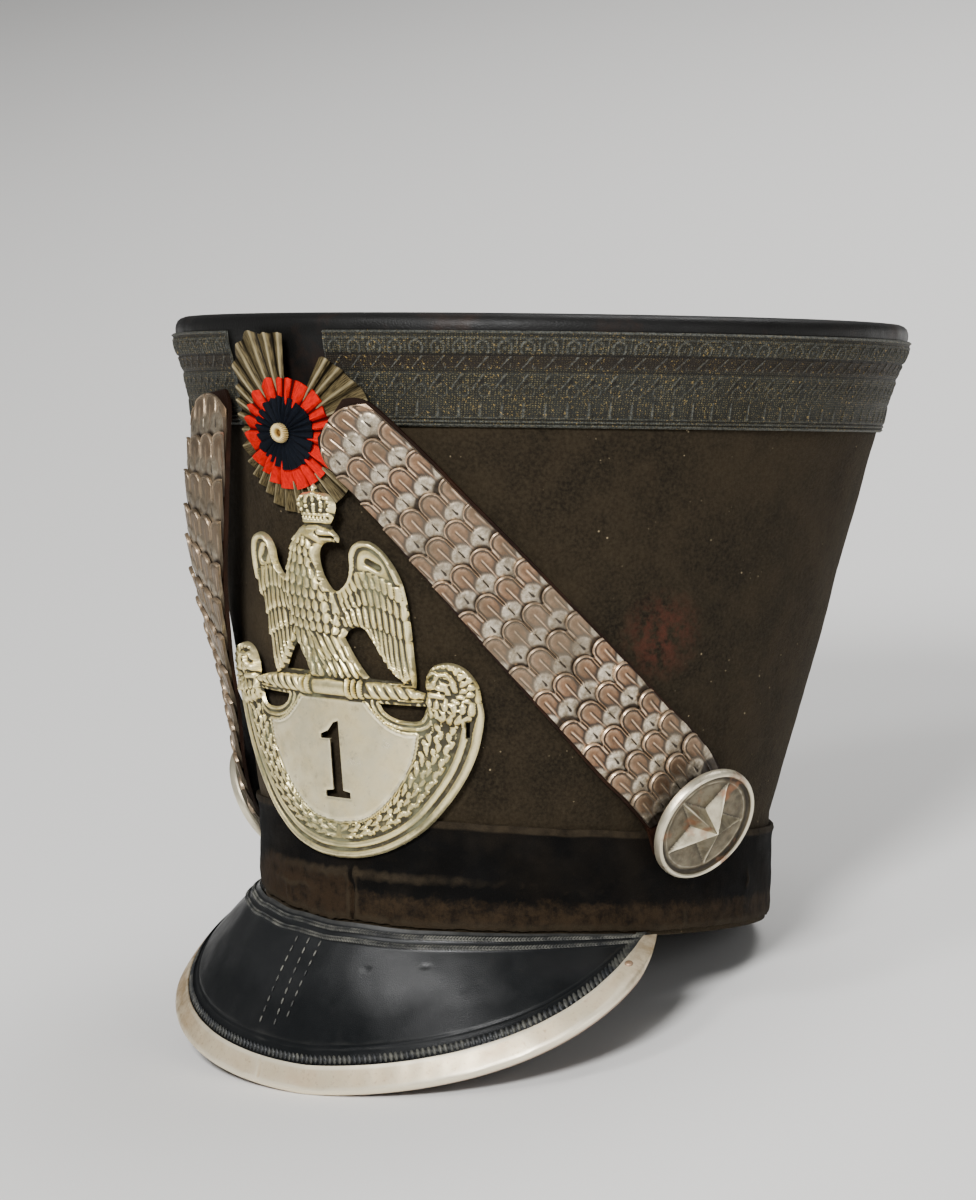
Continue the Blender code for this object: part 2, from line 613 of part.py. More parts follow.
def pleated_ring(name, finish, inner, outer, lift, thickness, pleat, clocks, closed=True, hub=False):
    """Ribbon gathered in pleats round the cockade: ridges and valleys by turns; a hub reaches the felt."""
    sections = []
    for i, clock in enumerate(clocks):
        reach = outer(clock) - (1.1 if i % 2 else 0.0)
        swing = pleat * (1 if i % 2 else -1) / 2
        section = [cockade_point(reach, clock, lift + thickness / 2 + swing),
                   cockade_point(reach, clock, lift + thickness * 1.5 + swing),
                   cockade_point(inner, clock, lift + thickness * 1.5 + swing * 0.4)]
        if hub:
            for radius in (inner, COCKADE_HUB):
                a = math.radians(clock)
                section.append(front_point(COCKADE_CENTRE[0] + radius * math.sin(a),
                                           COCKADE_CENTRE[1] + radius * math.cos(a), COCKADE_HUB_OUT))
        last = COCKADE_HUB if hub else inner
        section.append(cockade_point(last, clock, lift + thickness / 2 + swing * 0.4))
        sections.append(section)
    return add_object(name, sweep(sections, closed), finish, 20.0)


def make_cockade(silver, red, blue, gold):
    """Three pleated ribbons, one on the other, and a bead of gold thread."""
    whole = [360.0 * i / (2 * COCKADE_PLEATS) for i in range(2 * COCKADE_PLEATS)]
    count = 2 * COCKADE_PLEATS - 5
    torn = [mix(SILVER_START, 358.0, i / count) for i in range(count + 1)]
    made = [
        pleated_ring("cockade_silver", silver, 7.0, lambda clock: read_rows(SILVER_RADII, clock),
                     -0.4, 0.7, 0.7, torn, closed=False, hub=True),
        pleated_ring("cockade_red", red, 6.5, lambda clock: 18.7, 1.1, 0.8, 0.8, whole),
        pleated_ring("cockade_blue", blue, 2.4, lambda clock: 11.8, 2.7, 0.8, 0.7, whole),
    ]
    rings = ((3.6, 4.4), (3.7, 5.5), (2.9, 6.6), (1.5, 7.3))      # radius, lift of the bead
    sides = [30.0 * i for i in range(12)]
    bead = sweep([[cockade_point(radius, clock, lift) for clock in sides] for radius, lift in rings])
    made.append(add_object("cockade_bead", bead, gold))
    return made


# ---------------------------------------------------------------- straps, scales and bosses

def strap_path(rows):
    """Points and outward normals along a strap, with the length run from its boss."""
    path, length, last = [], 0.0, None
    for turn, z, out in smooth_run(rows, 2.0):
        point = body_point(turn, z, out)
        length += (point - last).length if last else 0.0
        path.append((length, point, body_normal(turn, z)))
        last = point
    return path


def strap_spot(path, length):
    for (l0, p0, n0), (l1, p1, n1) in zip(path, path[1:]):
        if length <= l1 or l1 == path[-1][0]:
            share = (length - l0) / (l1 - l0)
            return p0.lerp(p1, share), n0.lerp(n1, share)


def strap_place(path, length, across, lift):
    """Point beside the strap's middle line by across, and above its inner side by lift."""
    point, normal = strap_spot(path, length)
    ahead = (strap_spot(path, length + 3.0)[0] - strap_spot(path, length - 3.0)[0]).normalized()
    normal = (normal - ahead * normal.dot(ahead)).normalized()
    return point + ahead.cross(normal) * across + normal * lift


def strap_half_width(path, length):
    share = min(max(length / path[-1][0], 0.0), 1.0)
    return mix(STRAP_WIDTHS[0], STRAP_WIDTHS[1], share) / 2


def make_strap(name, path, finish):
    """Leather under the scales, rounded at its free end."""
    end = path[-1][0]
    stations = [6.0 * i for i in range(int((end - 8.0) / 6.0) + 1)] + [end - 6.0, end - 2.5, end]
    sections = []
    for length in stations:
        half = strap_half_width(path, length) + STRAP_MARGIN
        left = end + 2.5 - length
        half *= 1.0 if left > 10.0 else math.sqrt(1.0 - (1.0 - left / 10.0) ** 2 * 0.5)
        sections.append([strap_place(path, length, side * half, lift)
                         for side, lift in ((-1, 0), (1, 0), (1, STRAP_THICKNESS), (-1, STRAP_THICKNESS))])
    return add_object(name, sweep(sections), finish)


def lobed_front(half, reach):
    """Front edge of a scale from one side to the other: round tongues, cut off at the sides."""
    radius = SCALE_LOBE_PITCH / 2
    edge = []
    for lobe in range(4):
        centre = SCALE_LOBE_PITCH * (lobe - 1.5)
        for share, drop in ((-1.0, 1.0), (-0.55, 0.2), (0.55, 0.2)):
            a = centre + share * radius
            if abs(a) < half - SCALE_SIDE:
                edge.append((a, reach - drop * radius))
    outer = reach - radius * (0.45 if half > 14.5 else 0.2)
    return [(-half, outer)] + edge + [(half, outer)]


def make_scales(side, path, count, finish):
    """Overlapping plates: each plate's tongues lie on the plate nearer the free end."""
    end = path[-1][0]
    pitch = (end - SCALE_START - SCALE_END_LENGTH) / count
    tilt = (SCALE_THICKNESS + SCALE_GAP) / pitch
    bend = SCALE_OVERLAP + SCALE_THICKNESS
    made = []
    for i in range(count + 1):
        start = SCALE_START + pitch * i
        half = strap_half_width(path, start + pitch)
        bulges = [(SCALE_LOBE_PITCH * (lobe - 1.5), pitch) for lobe in range(4)]
        if i < count:
            front = lobed_front(half, pitch + SCALE_OVERLAP)
        else:
            reach = end - 1.0 - start
            corners = [math.radians(a) for a in (-90, -60, -30, 0, 30, 60, 90)]
            front = [(half * math.sin(a), reach - half * (1.0 - math.cos(a)) * SCALE_END_ROUND)
                     for a in corners]
            bulges = [(0.0, pitch)]
        bulges = [Vector(spot) for spot in bulges if abs(spot[0]) < half - 2.0]
        outline = [(-half, 0.0), (half, 0.0), (half, bend)] + list(reversed(front)) + [(-half, bend)]
        marks = [Vector((a, bend)) for a in (-half / 2, 0.0, half / 2)] + bulges

        def height(a, s):
            raised = any((Vector((a, s)) - bulge).length < 0.01 for bulge in bulges)
            return SCALE_THICKNESS + (SCALE_BULGE if raised else 0.0)

        def place(a, s, h):
            return strap_place(path, start + s, a, STRAP_THICKNESS + GAP + tilt * s + h)

        mesh = relief_sheet([Vector(p) for p in outline], [], [], marks, height, place)
        made.append(add_object("scale_%s_%02d" % (side, i + 1), mesh, finish, 20.0))
    return made


def make_boss(name, side, path, finish):
    """Pressed boss: raised rim, five-pointed star, and a post down to the strap."""
    turn = side * BOSS_TURN
    centre = body_point(turn, BOSS_HEIGHT, BOSS_OUT)
    level = (body_point(turn, BOSS_HEIGHT, 1.0) - body_point(turn, BOSS_HEIGHT)).normalized()
    droop = math.radians(BOSS_DROOP)
    axis = level * math.cos(droop) - Vector((0, 0, 1)) * math.sin(droop)
    right = Vector((0, 0, 1)).cross(axis).normalized()
    upward = axis.cross(right)

    def circle(radius, count, start=0.0):
        return [Vector((radius * math.sin(start + math.tau * i / count),
                        radius * math.cos(start + math.tau * i / count))) for i in range(count)]

    tips = circle(BOSS_STAR[0], 5, math.radians(BOSS_STAR_TURN))
    valleys = circle(BOSS_STAR[1], 5, math.radians(BOSS_STAR_TURN + 36.0))
    zigzag = [point for pair in zip(tips, valleys) for point in pair]
    rises = {(round(p.x, 2), round(p.y, 2)): BOSS_FIELD for p in zigzag}
    rises[(0.0, 0.0)] = BOSS_APEX
    apex = Vector((0.0, 0.0))
    lines = [zigzag + zigzag[:1]] + [[apex, point] for point in zigzag]
    for radius, rise in BOSS_RINGS:
        ring = circle(radius, BOSS_SIDES)
        lines.append(ring + ring[:1])
        rises.update({(round(p.x, 2), round(p.y, 2)): rise for p in ring})

    def height(x, y):
        return rises.get((round(x, 2), round(y, 2)), 1.6)

    def place(x, y, h):
        return centre + right * x + upward * y + axis * h

    mesh = relief_sheet(circle(BOSS_RADIUS, BOSS_SIDES), [], lines, [], height, place, flat_back=True)
    bmesh.ops.recalc_face_normals(mesh, faces=mesh.faces)
    back = max(mesh.faces, key=lambda face: len(face.verts))
    bmesh.ops.inset_region(mesh, faces=[back], thickness=BOSS_RADIUS - BOSS_POST_RADIUS)
    made = bmesh.ops.extrude_face_region(mesh, geom=[back])["geom"]
    seat = strap_place(path, BOSS_SEAT, 0.0, STRAP_THICKNESS + BOSS_SEAT_GAP)
    normal = strap_place(path, BOSS_SEAT, 0.0, 1.0) - strap_place(path, BOSS_SEAT, 0.0, 0.0)
    tilt = axis.angle(normal)
    depth = ((centre - seat).dot(normal) - BOSS_POST_RADIUS * math.sin(tilt)) / math.cos(tilt)
    foot = [v for v in made if isinstance(v, bmesh.types.BMVert)]
    bmesh.ops.translate(mesh, verts=foot, vec=axis * -depth)
    bmesh.ops.delete(mesh, geom=[back], context="FACES_ONLY")
    return add_object(name, mesh, finish, 25.0)


# ---------------------------------------------------------------- the whole hat

def settle(pieces):
    """Leans the hat back until the peak's edge and the back of the rim rest on the ground."""
    def vertices(names):
        return [v.co / MM for piece in pieces if piece.name in names for v in piece.data.vertices]

    def lowest(points, lean):
        return min(points, key=lambda p: p.z * math.cos(lean) - p.y * math.sin(lean))

    trim, shell = vertices(("visor_trim",)), vertices(("crown_shell", "lower_band"))
    lean = math.radians(FIRST_LEAN)
    for _ in range(LEAN_ROUNDS):
        front, back = lowest(trim, lean), lowest(shell, lean)
        lean = math.atan2(back.z - front.z, back.y - front.y)
    stand = bpy.data.objects.new("hat_stand", None)
    bpy.context.scene.collection.objects.link(stand)
    stand.rotation_euler.x = -lean
    for piece in pieces:
        piece.parent = stand
    turn = stand.rotation_euler.to_matrix()
    turned = [turn @ v.co for piece in pieces for v in piece.data.vertices]
    for axis in (0, 1):
        values = [p[axis] for p in turned]
        stand.location[axis] = -(min(values) + max(values)) / 2
    stand.location.z = -min(p.z for p in turned)


def main():
    for old in list(bpy.data.objects):
        bpy.data.objects.remove(old)
    felt = material("felt", (0.035, 0.027, 0.02), 0.95)
    top_leather = material("top_leather", (0.03, 0.026, 0.024), 0.45)
    lace = material("lace", (0.17, 0.16, 0.13), 0.6, 0.5)
    band_leather = material("band_leather", (0.025, 0.02, 0.015), 0.7)
    peak_leather = material("peak_leather", (0.02, 0.022, 0.024), 0.35)
    peak_metal = material("peak_metal", (0.6, 0.56, 0.48), 0.4, 0.9)
    plate_metal = material("plate_metal", (0.66, 0.6, 0.44), 0.35, 0.95)
    silver_ribbon = material("silver_ribbon", (0.32, 0.28, 0.2), 0.55, 0.5)
    red_ribbon = material("red_ribbon", (0.6, 0.04, 0.02), 0.75)
    blue_ribbon = material("blue_ribbon", (0.01, 0.016, 0.035), 0.8)
    gold_thread = material("gold_thread", (0.55, 0.4, 0.15), 0.5, 0.6)
    strap_leather = material("strap_leather", (0.09, 0.03, 0.02), 0.6)
    scale_metal = material("scale_metal", (0.5, 0.4, 0.34), 0.4, 0.9)
    boss_metal = material("boss_metal", (0.55, 0.52, 0.46), 0.35, 0.95)

    right, left = strap_path(STRAP_RIGHT_ROWS), strap_path(STRAP_LEFT_ROWS)
    pieces = [
        make_crown_shell(felt), make_crown_top(top_leather), make_top_galon(lace),
        make_lower_band(band_leather), make_visor(peak_leather), make_visor_trim(peak_metal),
        make_front_plate(plate_metal),
        make_strap("strap_right", right, strap_leather), make_strap("strap_left", left, strap_leather),
        make_boss("boss_right", 1, right, boss_metal), make_boss("boss_left", -1, left, boss_metal),
    ]
    pieces += make_cockade(silver_ribbon, red_ribbon, blue_ribbon, gold_thread)
    pieces += make_scales("right", right, SCALES_RIGHT, scale_metal)
    pieces += make_scales("left", left, SCALES_LEFT, scale_metal)
    settle(pieces)


main()
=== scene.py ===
# An officer's shako: looks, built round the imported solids.
# Lengths are in millimetres in the hat's own frame (Z up the body, front at -Y, the wearer's left at +X).
# A turn is an angle round the body, 0 at the front and +90 at the wearer's left; out is measured outwards
# from the body's outline. finishPiece() sets a piece into the scene, in metres, leaning on its peak.
import math
import random

import bpy
import numpy as np
from mathutils import Matrix, Vector, noise
from mathutils.geometry import delaunay_2d_cdt


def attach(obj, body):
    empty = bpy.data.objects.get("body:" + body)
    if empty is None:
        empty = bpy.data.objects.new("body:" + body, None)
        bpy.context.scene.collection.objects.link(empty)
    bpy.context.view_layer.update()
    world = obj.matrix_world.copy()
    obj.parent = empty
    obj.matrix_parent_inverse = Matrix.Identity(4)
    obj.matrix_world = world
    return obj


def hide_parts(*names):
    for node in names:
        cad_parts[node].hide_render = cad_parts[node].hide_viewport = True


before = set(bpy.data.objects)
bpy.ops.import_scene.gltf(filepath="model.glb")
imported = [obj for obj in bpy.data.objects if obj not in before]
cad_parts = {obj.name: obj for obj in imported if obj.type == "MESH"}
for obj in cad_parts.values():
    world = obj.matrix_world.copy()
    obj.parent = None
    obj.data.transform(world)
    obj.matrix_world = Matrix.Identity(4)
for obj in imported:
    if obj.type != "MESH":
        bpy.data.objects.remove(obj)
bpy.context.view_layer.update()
print("frame loaded:", len(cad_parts), "nodes")

# how the hat stands: it leans back on its peak and on the back of its rim
stand = {"lean": 14.125356, "place": (0.0, -0.028909, 0.022452), "unit": 0.001}
hatToWorld = (Matrix.Translation(stand["place"]) @ Matrix.Rotation(math.radians(-stand["lean"]), 4, "X")
              @ Matrix.Scale(stand["unit"], 4))

# camera: seen from the wearer's left front, level with the hat's own rim
cameraView = {"azimuth": 37.384, "elevation": 2.001, "roll": 0.682, "distance": 1806.8, "aimHeight": 100.0,
              "focalPixels": 5293.4, "aimPixel": (520.33, 622.89), "photoSize": (976, 1200), "film": 36.0}


def link(thing):
    bpy.context.scene.collection.objects.link(thing)


def addCamera(view):
    azimuth, elevation, roll = (math.radians(view[name]) for name in ("azimuth", "elevation", "roll"))
    back = Vector((math.sin(azimuth) * math.cos(elevation), -math.cos(azimuth) * math.cos(elevation),
                   math.sin(elevation)))
    level = Vector((math.cos(azimuth), math.sin(azimuth), 0.0))
    above = back.cross(level)
    right = level * math.cos(roll) + above * math.sin(roll)
    up = above * math.cos(roll) - level * math.sin(roll)
    eye = hatToWorld @ (Vector((0.0, 0.0, view["aimHeight"])) + back * view["distance"])
    turn = hatToWorld.to_3x3().normalized() @ Matrix((right, up, back)).transposed()
    width, height = view["photoSize"]
    data = bpy.data.cameras.new("camera")
    data.sensor_fit = "VERTICAL"
    data.sensor_height = view["film"]
    data.lens = view["focalPixels"] / height * view["film"]
    data.shift_x = (width / 2 - view["aimPixel"][0]) / height
    data.shift_y = (view["aimPixel"][1] - height / 2) / height
    data.clip_end = 20.0
    camera = bpy.data.objects.new("camera", data)
    camera.matrix_world = Matrix.Translation(eye) @ turn.to_4x4()
    link(camera)
    bpy.context.scene.camera = camera


addCamera(cameraView)


# numbers and curves

def mix(a, b, share):
    return a + (b - a) * share


def ease(share):
    share = min(max(share, 0.0), 1.0)
    return share * share * (3.0 - 2.0 * share)


def near(distance, width):  # 1 at distance 0, falling smoothly to 0 at width
    return ease(1.0 - abs(distance) / width)


def readRows(rows, key):  # value of a two-column table at key, eased between its rows
    for (k0, v0), (k1, v1) in zip(rows, rows[1:]):
        if key <= k1:
            return mix(v0, v1, ease((key - k0) / (k1 - k0)))
    return rows[-1][1]


def smoothRun(points, spacing):  # a smooth curve through points, sampled about every spacing
    points = [Vector(p) for p in points]
    ends = [points[0] * 2 - points[1]] + points + [points[-1] * 2 - points[-2]]
    run = []
    for a, b, c, d in zip(ends, ends[1:], ends[2:], ends[3:]):
        steps = max(1, round((c - b).length / spacing))
        for i in range(steps):
            t = i / steps
            square = (2 * a - 5 * b + 4 * c - d) * t ** 2
            cube = (3 * b - a - 3 * c + d) * t ** 3
            run.append(0.5 * (2 * b + (c - a) * t + square + cube))
    return run + [points[-1]]


def flatSmooth(points, spacing):
    return smoothRun([(a, b, 0.0) for a, b in points], spacing)


def alongRun(run, share):  # the point at a share of a run of points
    spot = min(max(share, 0.0), 1.0) * (len(run) - 1)
    i = min(int(spot), len(run) - 2)
    return run[i].lerp(run[i + 1], spot - i)


def lumps(point, size, seed=0.0):  # smooth noise from -1 to 1
    return noise.noise(point / size + Vector((seed, seed * 2.0, -seed)))


# the body's outline: an oval at the rim, a circle at the top
body = {"halfLength": 93.0, "halfWidth": 82.0, "topRadius": 124.0, "topShift": 10.0, "height": 197.0,
        "bandHeight": 36.0, "bandFlare": 1.0}


def bodyOval(z):
    flare = body["bandFlare"]
    if z <= body["bandHeight"]:
        grow = flare * z / body["bandHeight"]
        return body["halfLength"] + grow, body["halfWidth"] + grow, 0.0
    share = (z - body["bandHeight"]) / (body["height"] - body["bandHeight"])
    return (mix(body["halfLength"] + flare, body["topRadius"], share),
            mix(body["halfWidth"] + flare, body["topRadius"], share), body["topShift"] * share)


def bodyPoint(turn, z, out=0.0):
    length, width, shift = bodyOval(z)
    a = math.radians(turn)
    x, y = math.sin(a) / width, -math.cos(a) / length
    out /= math.hypot(x, y)
    return Vector((width * math.sin(a) + x * out, shift - length * math.cos(a) + y * out, z))


def bodyNormal(turn, z, reach=9.0):
    across = bodyPoint(turn + 0.5, z) - bodyPoint(turn - 0.5, z)
    upwards = bodyPoint(turn, z + reach) - bodyPoint(turn, z - reach)
    return across.cross(upwards).normalized()


def frontPoint(x, z, out):  # point of the outline that shows at x across, seen from the front
    return bodyPoint(math.degrees(math.asin(x / bodyOval(z)[1])), z, out)


# modelling

def deselectAll():
    if bpy.context.object and bpy.context.object.mode != "OBJECT":
        bpy.ops.object.mode_set(mode="OBJECT")
    bpy.ops.object.select_all(action="DESELECT")


def pick(*pieces):
    deselectAll()
    for piece in pieces:
        piece.select_set(True)
    bpy.context.view_layer.objects.active = pieces[0]


def inEdit(piece, operator, select="SELECT", **settings):  # one operator, in edit mode, on all or nothing
    pick(piece)
    bpy.ops.object.mode_set(mode="EDIT")
    bpy.ops.mesh.select_all(action=select)
    operator(**settings)
    bpy.ops.object.mode_set(mode="OBJECT")


def gridPiece(name, columns, rows, place, closed=False):  # a flat grid, then bent: place(u, v), both 0 to 1
    deselectAll()
    bpy.ops.mesh.primitive_grid_add(x_subdivisions=columns, y_subdivisions=rows, size=1.0)
    piece = bpy.context.object
    piece.name = piece.data.name = name
    for vert in piece.data.vertices:
        vert.co = place(vert.co.x + 0.5, vert.co.y + 0.5)
    if closed:
        inEdit(piece, bpy.ops.mesh.remove_doubles, threshold=0.001)
    return piece


def faceOut(piece):
    inEdit(piece, bpy.ops.mesh.normals_make_consistent, inside=False)


def fillRims():
    bpy.ops.mesh.select_non_manifold()
    bpy.ops.mesh.fill_holes(sides=0)


def tubePiece(name, columns, count, place, closed=True):  # a section of points, place(u, i), swept along u
    piece = gridPiece(name, columns, count, lambda u, v: place(u, round(v * count) % count), closed=True)
    if not closed:
        inEdit(piece, fillRims, select="DESELECT")
    return piece


def thicken(piece, thickness):
    pick(piece)
    wall = piece.modifiers.new("wall", "SOLIDIFY")
    wall.thickness = thickness
    wall.offset = -1.0
    wall.use_even_offset = False
    bpy.ops.object.modifier_apply(modifier=wall.name)


def addPointValue(piece, name, values):
    attribute = piece.data.attributes.new(name, "FLOAT", "POINT")
    attribute.data.foreach_set("value", np.asarray(values, dtype=np.float32))


def markHollows(piece, depth, rounds=8):  # 1 in a hollow of that depth, -1 on a ridge as high
    mesh = piece.data
    count = len(mesh.vertices)
    points, normals = np.empty(count * 3), np.empty(count * 3)
    mesh.vertices.foreach_get("co", points)
    mesh.vertices.foreach_get("normal", normals)
    points, normals = points.reshape(-1, 3), normals.reshape(-1, 3)
    ends = np.empty(len(mesh.edges) * 2, int)
    mesh.edges.foreach_get("vertices", ends)
    a, b = ends.reshape(-1, 2).T
    degree = np.maximum(np.bincount(ends, minlength=count), 1)[:, None]
    soft = points.copy()
    for _ in range(rounds):
        total = [np.bincount(a, soft[b, k], count) + np.bincount(b, soft[a, k], count) for k in range(3)]
        soft = np.stack(total, 1) / degree
    addPointValue(piece, "hollow", np.clip(((soft - points) * normals).sum(1) / depth, -1.0, 1.0))


def copyOf(source, name):
    piece = source.copy()
    piece.data = source.data.copy()
    piece.name = piece.data.name = name
    link(piece)
    return piece


def joinPieces(name, pieces):
    pick(*pieces)
    bpy.ops.object.join()
    joined = bpy.context.object
    joined.name = joined.data.name = name
    return joined


def setOn(piece, place, along, outward, size):  # turns and sizes a piece, and sets it down at a place
    across = outward.cross(along).normalized()
    turn = Matrix((along * size[0], across * size[1], outward * size[2])).transposed()
    piece.data.transform(Matrix.Translation(place) @ turn.to_4x4())


def finishPiece(piece, finish, *nodes, smoothAngle=40.0):
    pick(piece)
    bpy.ops.object.shade_smooth_by_angle(angle=math.radians(smoothAngle))
    piece.data.materials.clear()
    piece.data.materials.append(finish["material"])
    piece.data.transform(hatToWorld)
    piece.data.update()
    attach(piece, "root")
    if nodes:
        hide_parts(*nodes)
    return piece


# finishes: startFinish() opens a material, and the calls after it add nodes to that one

making = {}


def addNode(kind, inputs=None, **settings):
    node = making["tree"].nodes.new("ShaderNode" + kind)
    for key, value in settings.items():
        setattr(node, key, value)
    for key, value in (inputs or {}).items():
        if isinstance(value, bpy.types.NodeSocket):
            making["tree"].links.new(value, node.inputs[key])
        else:
            node.inputs[key].default_value = value
    return node


def noiseOf(size, detail=3.0, roughness=0.55):  # lumps of about that size, in millimetres
    inputs = {"Vector": making["place"], "Scale": 1000.0 / size, "Detail": detail, "Roughness": roughness}
    return addNode("TexNoise", inputs).outputs["Fac"]


def rangeOf(value, low, high, start=0.0, stop=1.0):  # value from low to high becomes start to stop
    inputs = {"Value": value, "From Min": low, "From Max": high, "To Min": start, "To Max": stop}
    return addNode("MapRange", inputs, clamp=True).outputs["Result"]


def mathOf(kind, a, b):
    return addNode("Math", {0: a, 1: b}, operation=kind).outputs["Value"]


def plus(a, b):
    return mathOf("ADD", a, b)


def minus(a, b):
    return mathOf("SUBTRACT", a, b)


def times(a, b):
    return mathOf("MULTIPLY", a, b)


def colourOf(share, a, b):
    a, b = ((*c, 1.0) if isinstance(c, tuple) else c for c in (a, b))
    return addNode("Mix", {0: share, 6: a, 7: b}, data_type="RGBA").outputs[2]


def bumpOf(height, depth, strength):
    inputs = {"Height": height, "Distance": depth * 0.001, "Strength": strength}
    return addNode("Bump", inputs).outputs["Normal"]


def attributeOf(name):
    return addNode("Attribute", attribute_name=name).outputs["Fac"]


def blotches(colour, tint, lump, *share):  # tint in patches of noise: lump is what noiseOf() takes
    return colourOf(rangeOf(noiseOf(*lump), *share), colour, tint)


def byHollow(colour, tint, *share):  # tint in the hollows, or on the ridges where share is below 0
    return colourOf(rangeOf(attributeOf("hollow"), *share), colour, tint)


def uvParts():  # along and across a swept piece
    return addNode("SeparateXYZ", {0: making["uv"]}).outputs


def uvTimes(along, across):
    return addNode("Mapping", {"Vector": making["uv"], "Scale": (along, across, 1.0)}).outputs["Vector"]


def startFinish(slot, roughness, metallic=0.0, name=None, **sockets):
    material = bpy.data.materials.new(name or slot)
    material.use_nodes = True
    tree = material.node_tree
    shader = tree.nodes["Principled BSDF"]
    shader.inputs["Roughness"].default_value = roughness
    shader.inputs["Metallic"].default_value = metallic
    for key, value in sockets.items():
        shader.inputs[key.replace("_", " ")].default_value = value
    making.update(slot=slot, material=material, tree=tree, shader=shader)
    making["place"] = addNode("TexCoord").outputs["Object"]
    making["uv"] = addNode("UVMap", uv_map="UVMap").outputs["UV"]


def setSockets(**links):
    for key, value in links.items():
        making["tree"].links.new(value, making["shader"].inputs[key.replace("_", " ")])
    return {"slot": making["slot"], "material": making["material"]}


def feltFinish():
    startFinish("felt", 0.95, Specular_IOR_Level=0.12, Sheen_Weight=0.06, Sheen_Roughness=0.5,
                Sheen_Tint=(0.75, 0.6, 0.42, 1))
    colour = blotches((0.0072, 0.0054, 0.0031), (0.022, 0.0155, 0.0085), (16, 6, 0.65), 0.38, 0.68)
    colour = blotches(colour, (0.031, 0.0215, 0.0112), (70, 4), 0.45, 0.7, 0.0, 0.6)
    colour = blotches(colour, (0.042, 0.032, 0.0185), (1.1, 4), 0.35, 0.8, 0.0, 0.7)
    spot = tuple(hatToWorld @ bodyPoint(65.0, 99.0))  # a rubbed, reddish patch
    away = addNode("VectorMath", {0: making["place"], 1: spot}, operation="DISTANCE").outputs["Value"]
    patch = times(rangeOf(away, 0.017, 0.004), rangeOf(noiseOf(4, 5, 0.7), 0.42, 0.6))
    colour = colourOf(times(patch, 0.75), colour, (0.075, 0.022, 0.014))
    specks = addNode("TexVoronoi", {"Vector": making["place"], "Scale": 420.0, "Randomness": 1.0})
    dust = times(rangeOf(specks.outputs["Distance"], 0.17, 0.1), rangeOf(noiseOf(7, 3, 0.7), 0.6, 0.68))
    colour = colourOf(dust, colour, (0.34, 0.27, 0.16))
    nap = plus(noiseOf(0.7, 5, 0.7), times(noiseOf(4, 4), 1.5))
    return setSockets(Base_Color=colour, Normal=bumpOf(nap, 0.4, 0.9))


def bandWear(colour):  # the band's lower part worn brown, higher to the right of the tear
    spread = uvParts()
    raised = times(rangeOf(spread["X"], 0.508, 0.504), rangeOf(spread["X"], 0.38, 0.42))
    level = minus(spread["Y"], times(raised, 0.14))
    level = plus(level, rangeOf(noiseOf(5, 4, 0.7), 0.3, 0.7, -0.05, 0.05))
    worn = times(rangeOf(level, 0.25, 0.19), rangeOf(noiseOf(4.5, 5, 0.75), 0.36, 0.6, 0.15, 1.0))
    colour = colourOf(worn, colour, (0.026, 0.0165, 0.0085))
    return colourOf(times(worn, raised), colour, (0.024, 0.0145, 0.0078))


def leatherFinish(slot, dark, worn, roughness, wornSize=30, wornFrom=0.5, wornTo=0.75, grain=0.9, depth=0.08,
                  edge=None, specular=0.5, name=None):
    startFinish(slot, roughness, name=name, Specular_IOR_Level=specular)
    colour = blotches(dark, worn, (wornSize, 5, 0.65), wornFrom, wornTo)
    if slot == "band_leather":
        colour = bandWear(colour)
    if edge:  # ridges rubbed paler
        patchy = rangeOf(noiseOf(5, 4, 0.7), 0.35, 0.65, 0.35, 1.0)
        colour = colourOf(times(rangeOf(attributeOf("hollow"), -0.12, -0.6), patchy), colour, edge)
    if edge and slot == "peak_leather":  # its lower half duller
        down = plus(uvParts()["Y"], rangeOf(noiseOf(20, 4, 0.6), 0.3, 0.7, -0.06, 0.06))
        setSockets(Specular_IOR_Level=rangeOf(down, 0.34, 0.52, specular * 1.3, specular * 0.5))
    inputs = {"Vector": making["place"], "Scale": 1000.0 / grain}
    cells = addNode("TexVoronoi", inputs, feature="DISTANCE_TO_EDGE").outputs["Distance"]
    height = plus(rangeOf(cells, 0.0, 0.25), noiseOf(3, 4))
    gloss = rangeOf(noiseOf(12, 4), 0.3, 0.7, roughness - 0.08, roughness + 0.1)
    return setSockets(Base_Color=colour, Roughness=gloss, Normal=bumpOf(height, depth, 0.6))


def plateTarnish(colour):  # greenish tarnish, but the plain field keeps its shine
    colour = blotches(colour, (0.22, 0.22, 0.12), (17, 5, 0.65), 0.5, 0.66, 0.0, 0.6)
    field = times(attributeOf("field"), rangeOf(making["cloud"], 0.3, 0.65, 0.9, 0.45))
    colour = colourOf(field, colour, (1.0, 0.9, 0.62))
    return blotches(colour, (0.3, 0.23, 0.11), (4, 6, 0.75), 0.56, 0.72, 0.0, 0.6)


def trimStainsAndShade(colour):  # bronze stains towards the ends of the peak's edging, and painted shade on its rolled edge and underside
    along = uvParts()["X"]
    ends = plus(rangeOf(along, 0.6, 0.74), rangeOf(along, 0.16, 0.08, 0.0, 0.7))
    ends = times(ends, rangeOf(noiseOf(6, 5, 0.7), 0.35, 0.6, 0.25, 0.9))
    colour = colourOf(ends, colour, (0.33, 0.2, 0.075))
    # painted shade: the rolled edge and the underside darker brown
    return colourOf(rangeOf(uvParts()["Y"], 0.5, 0.56, 0.0, 0.8), colour, (0.2, 0.075, 0.03))


def bossStar(colour):  # the star painted lighter than the ground as a painted highlight, with coppery patches
    # painted highlight: the star's arms lighter, as if lit
    star = times(attributeOf("star"), rangeOf(making["cloud"], 0.35, 0.6, 0.6, 0.2))
    colour = colourOf(star, colour, (0.8, 0.72, 0.52))
    return blotches(colour, (0.3, 0.13, 0.06), (11, 3, 0.6), 0.56, 0.66, 0.0, 0.75)


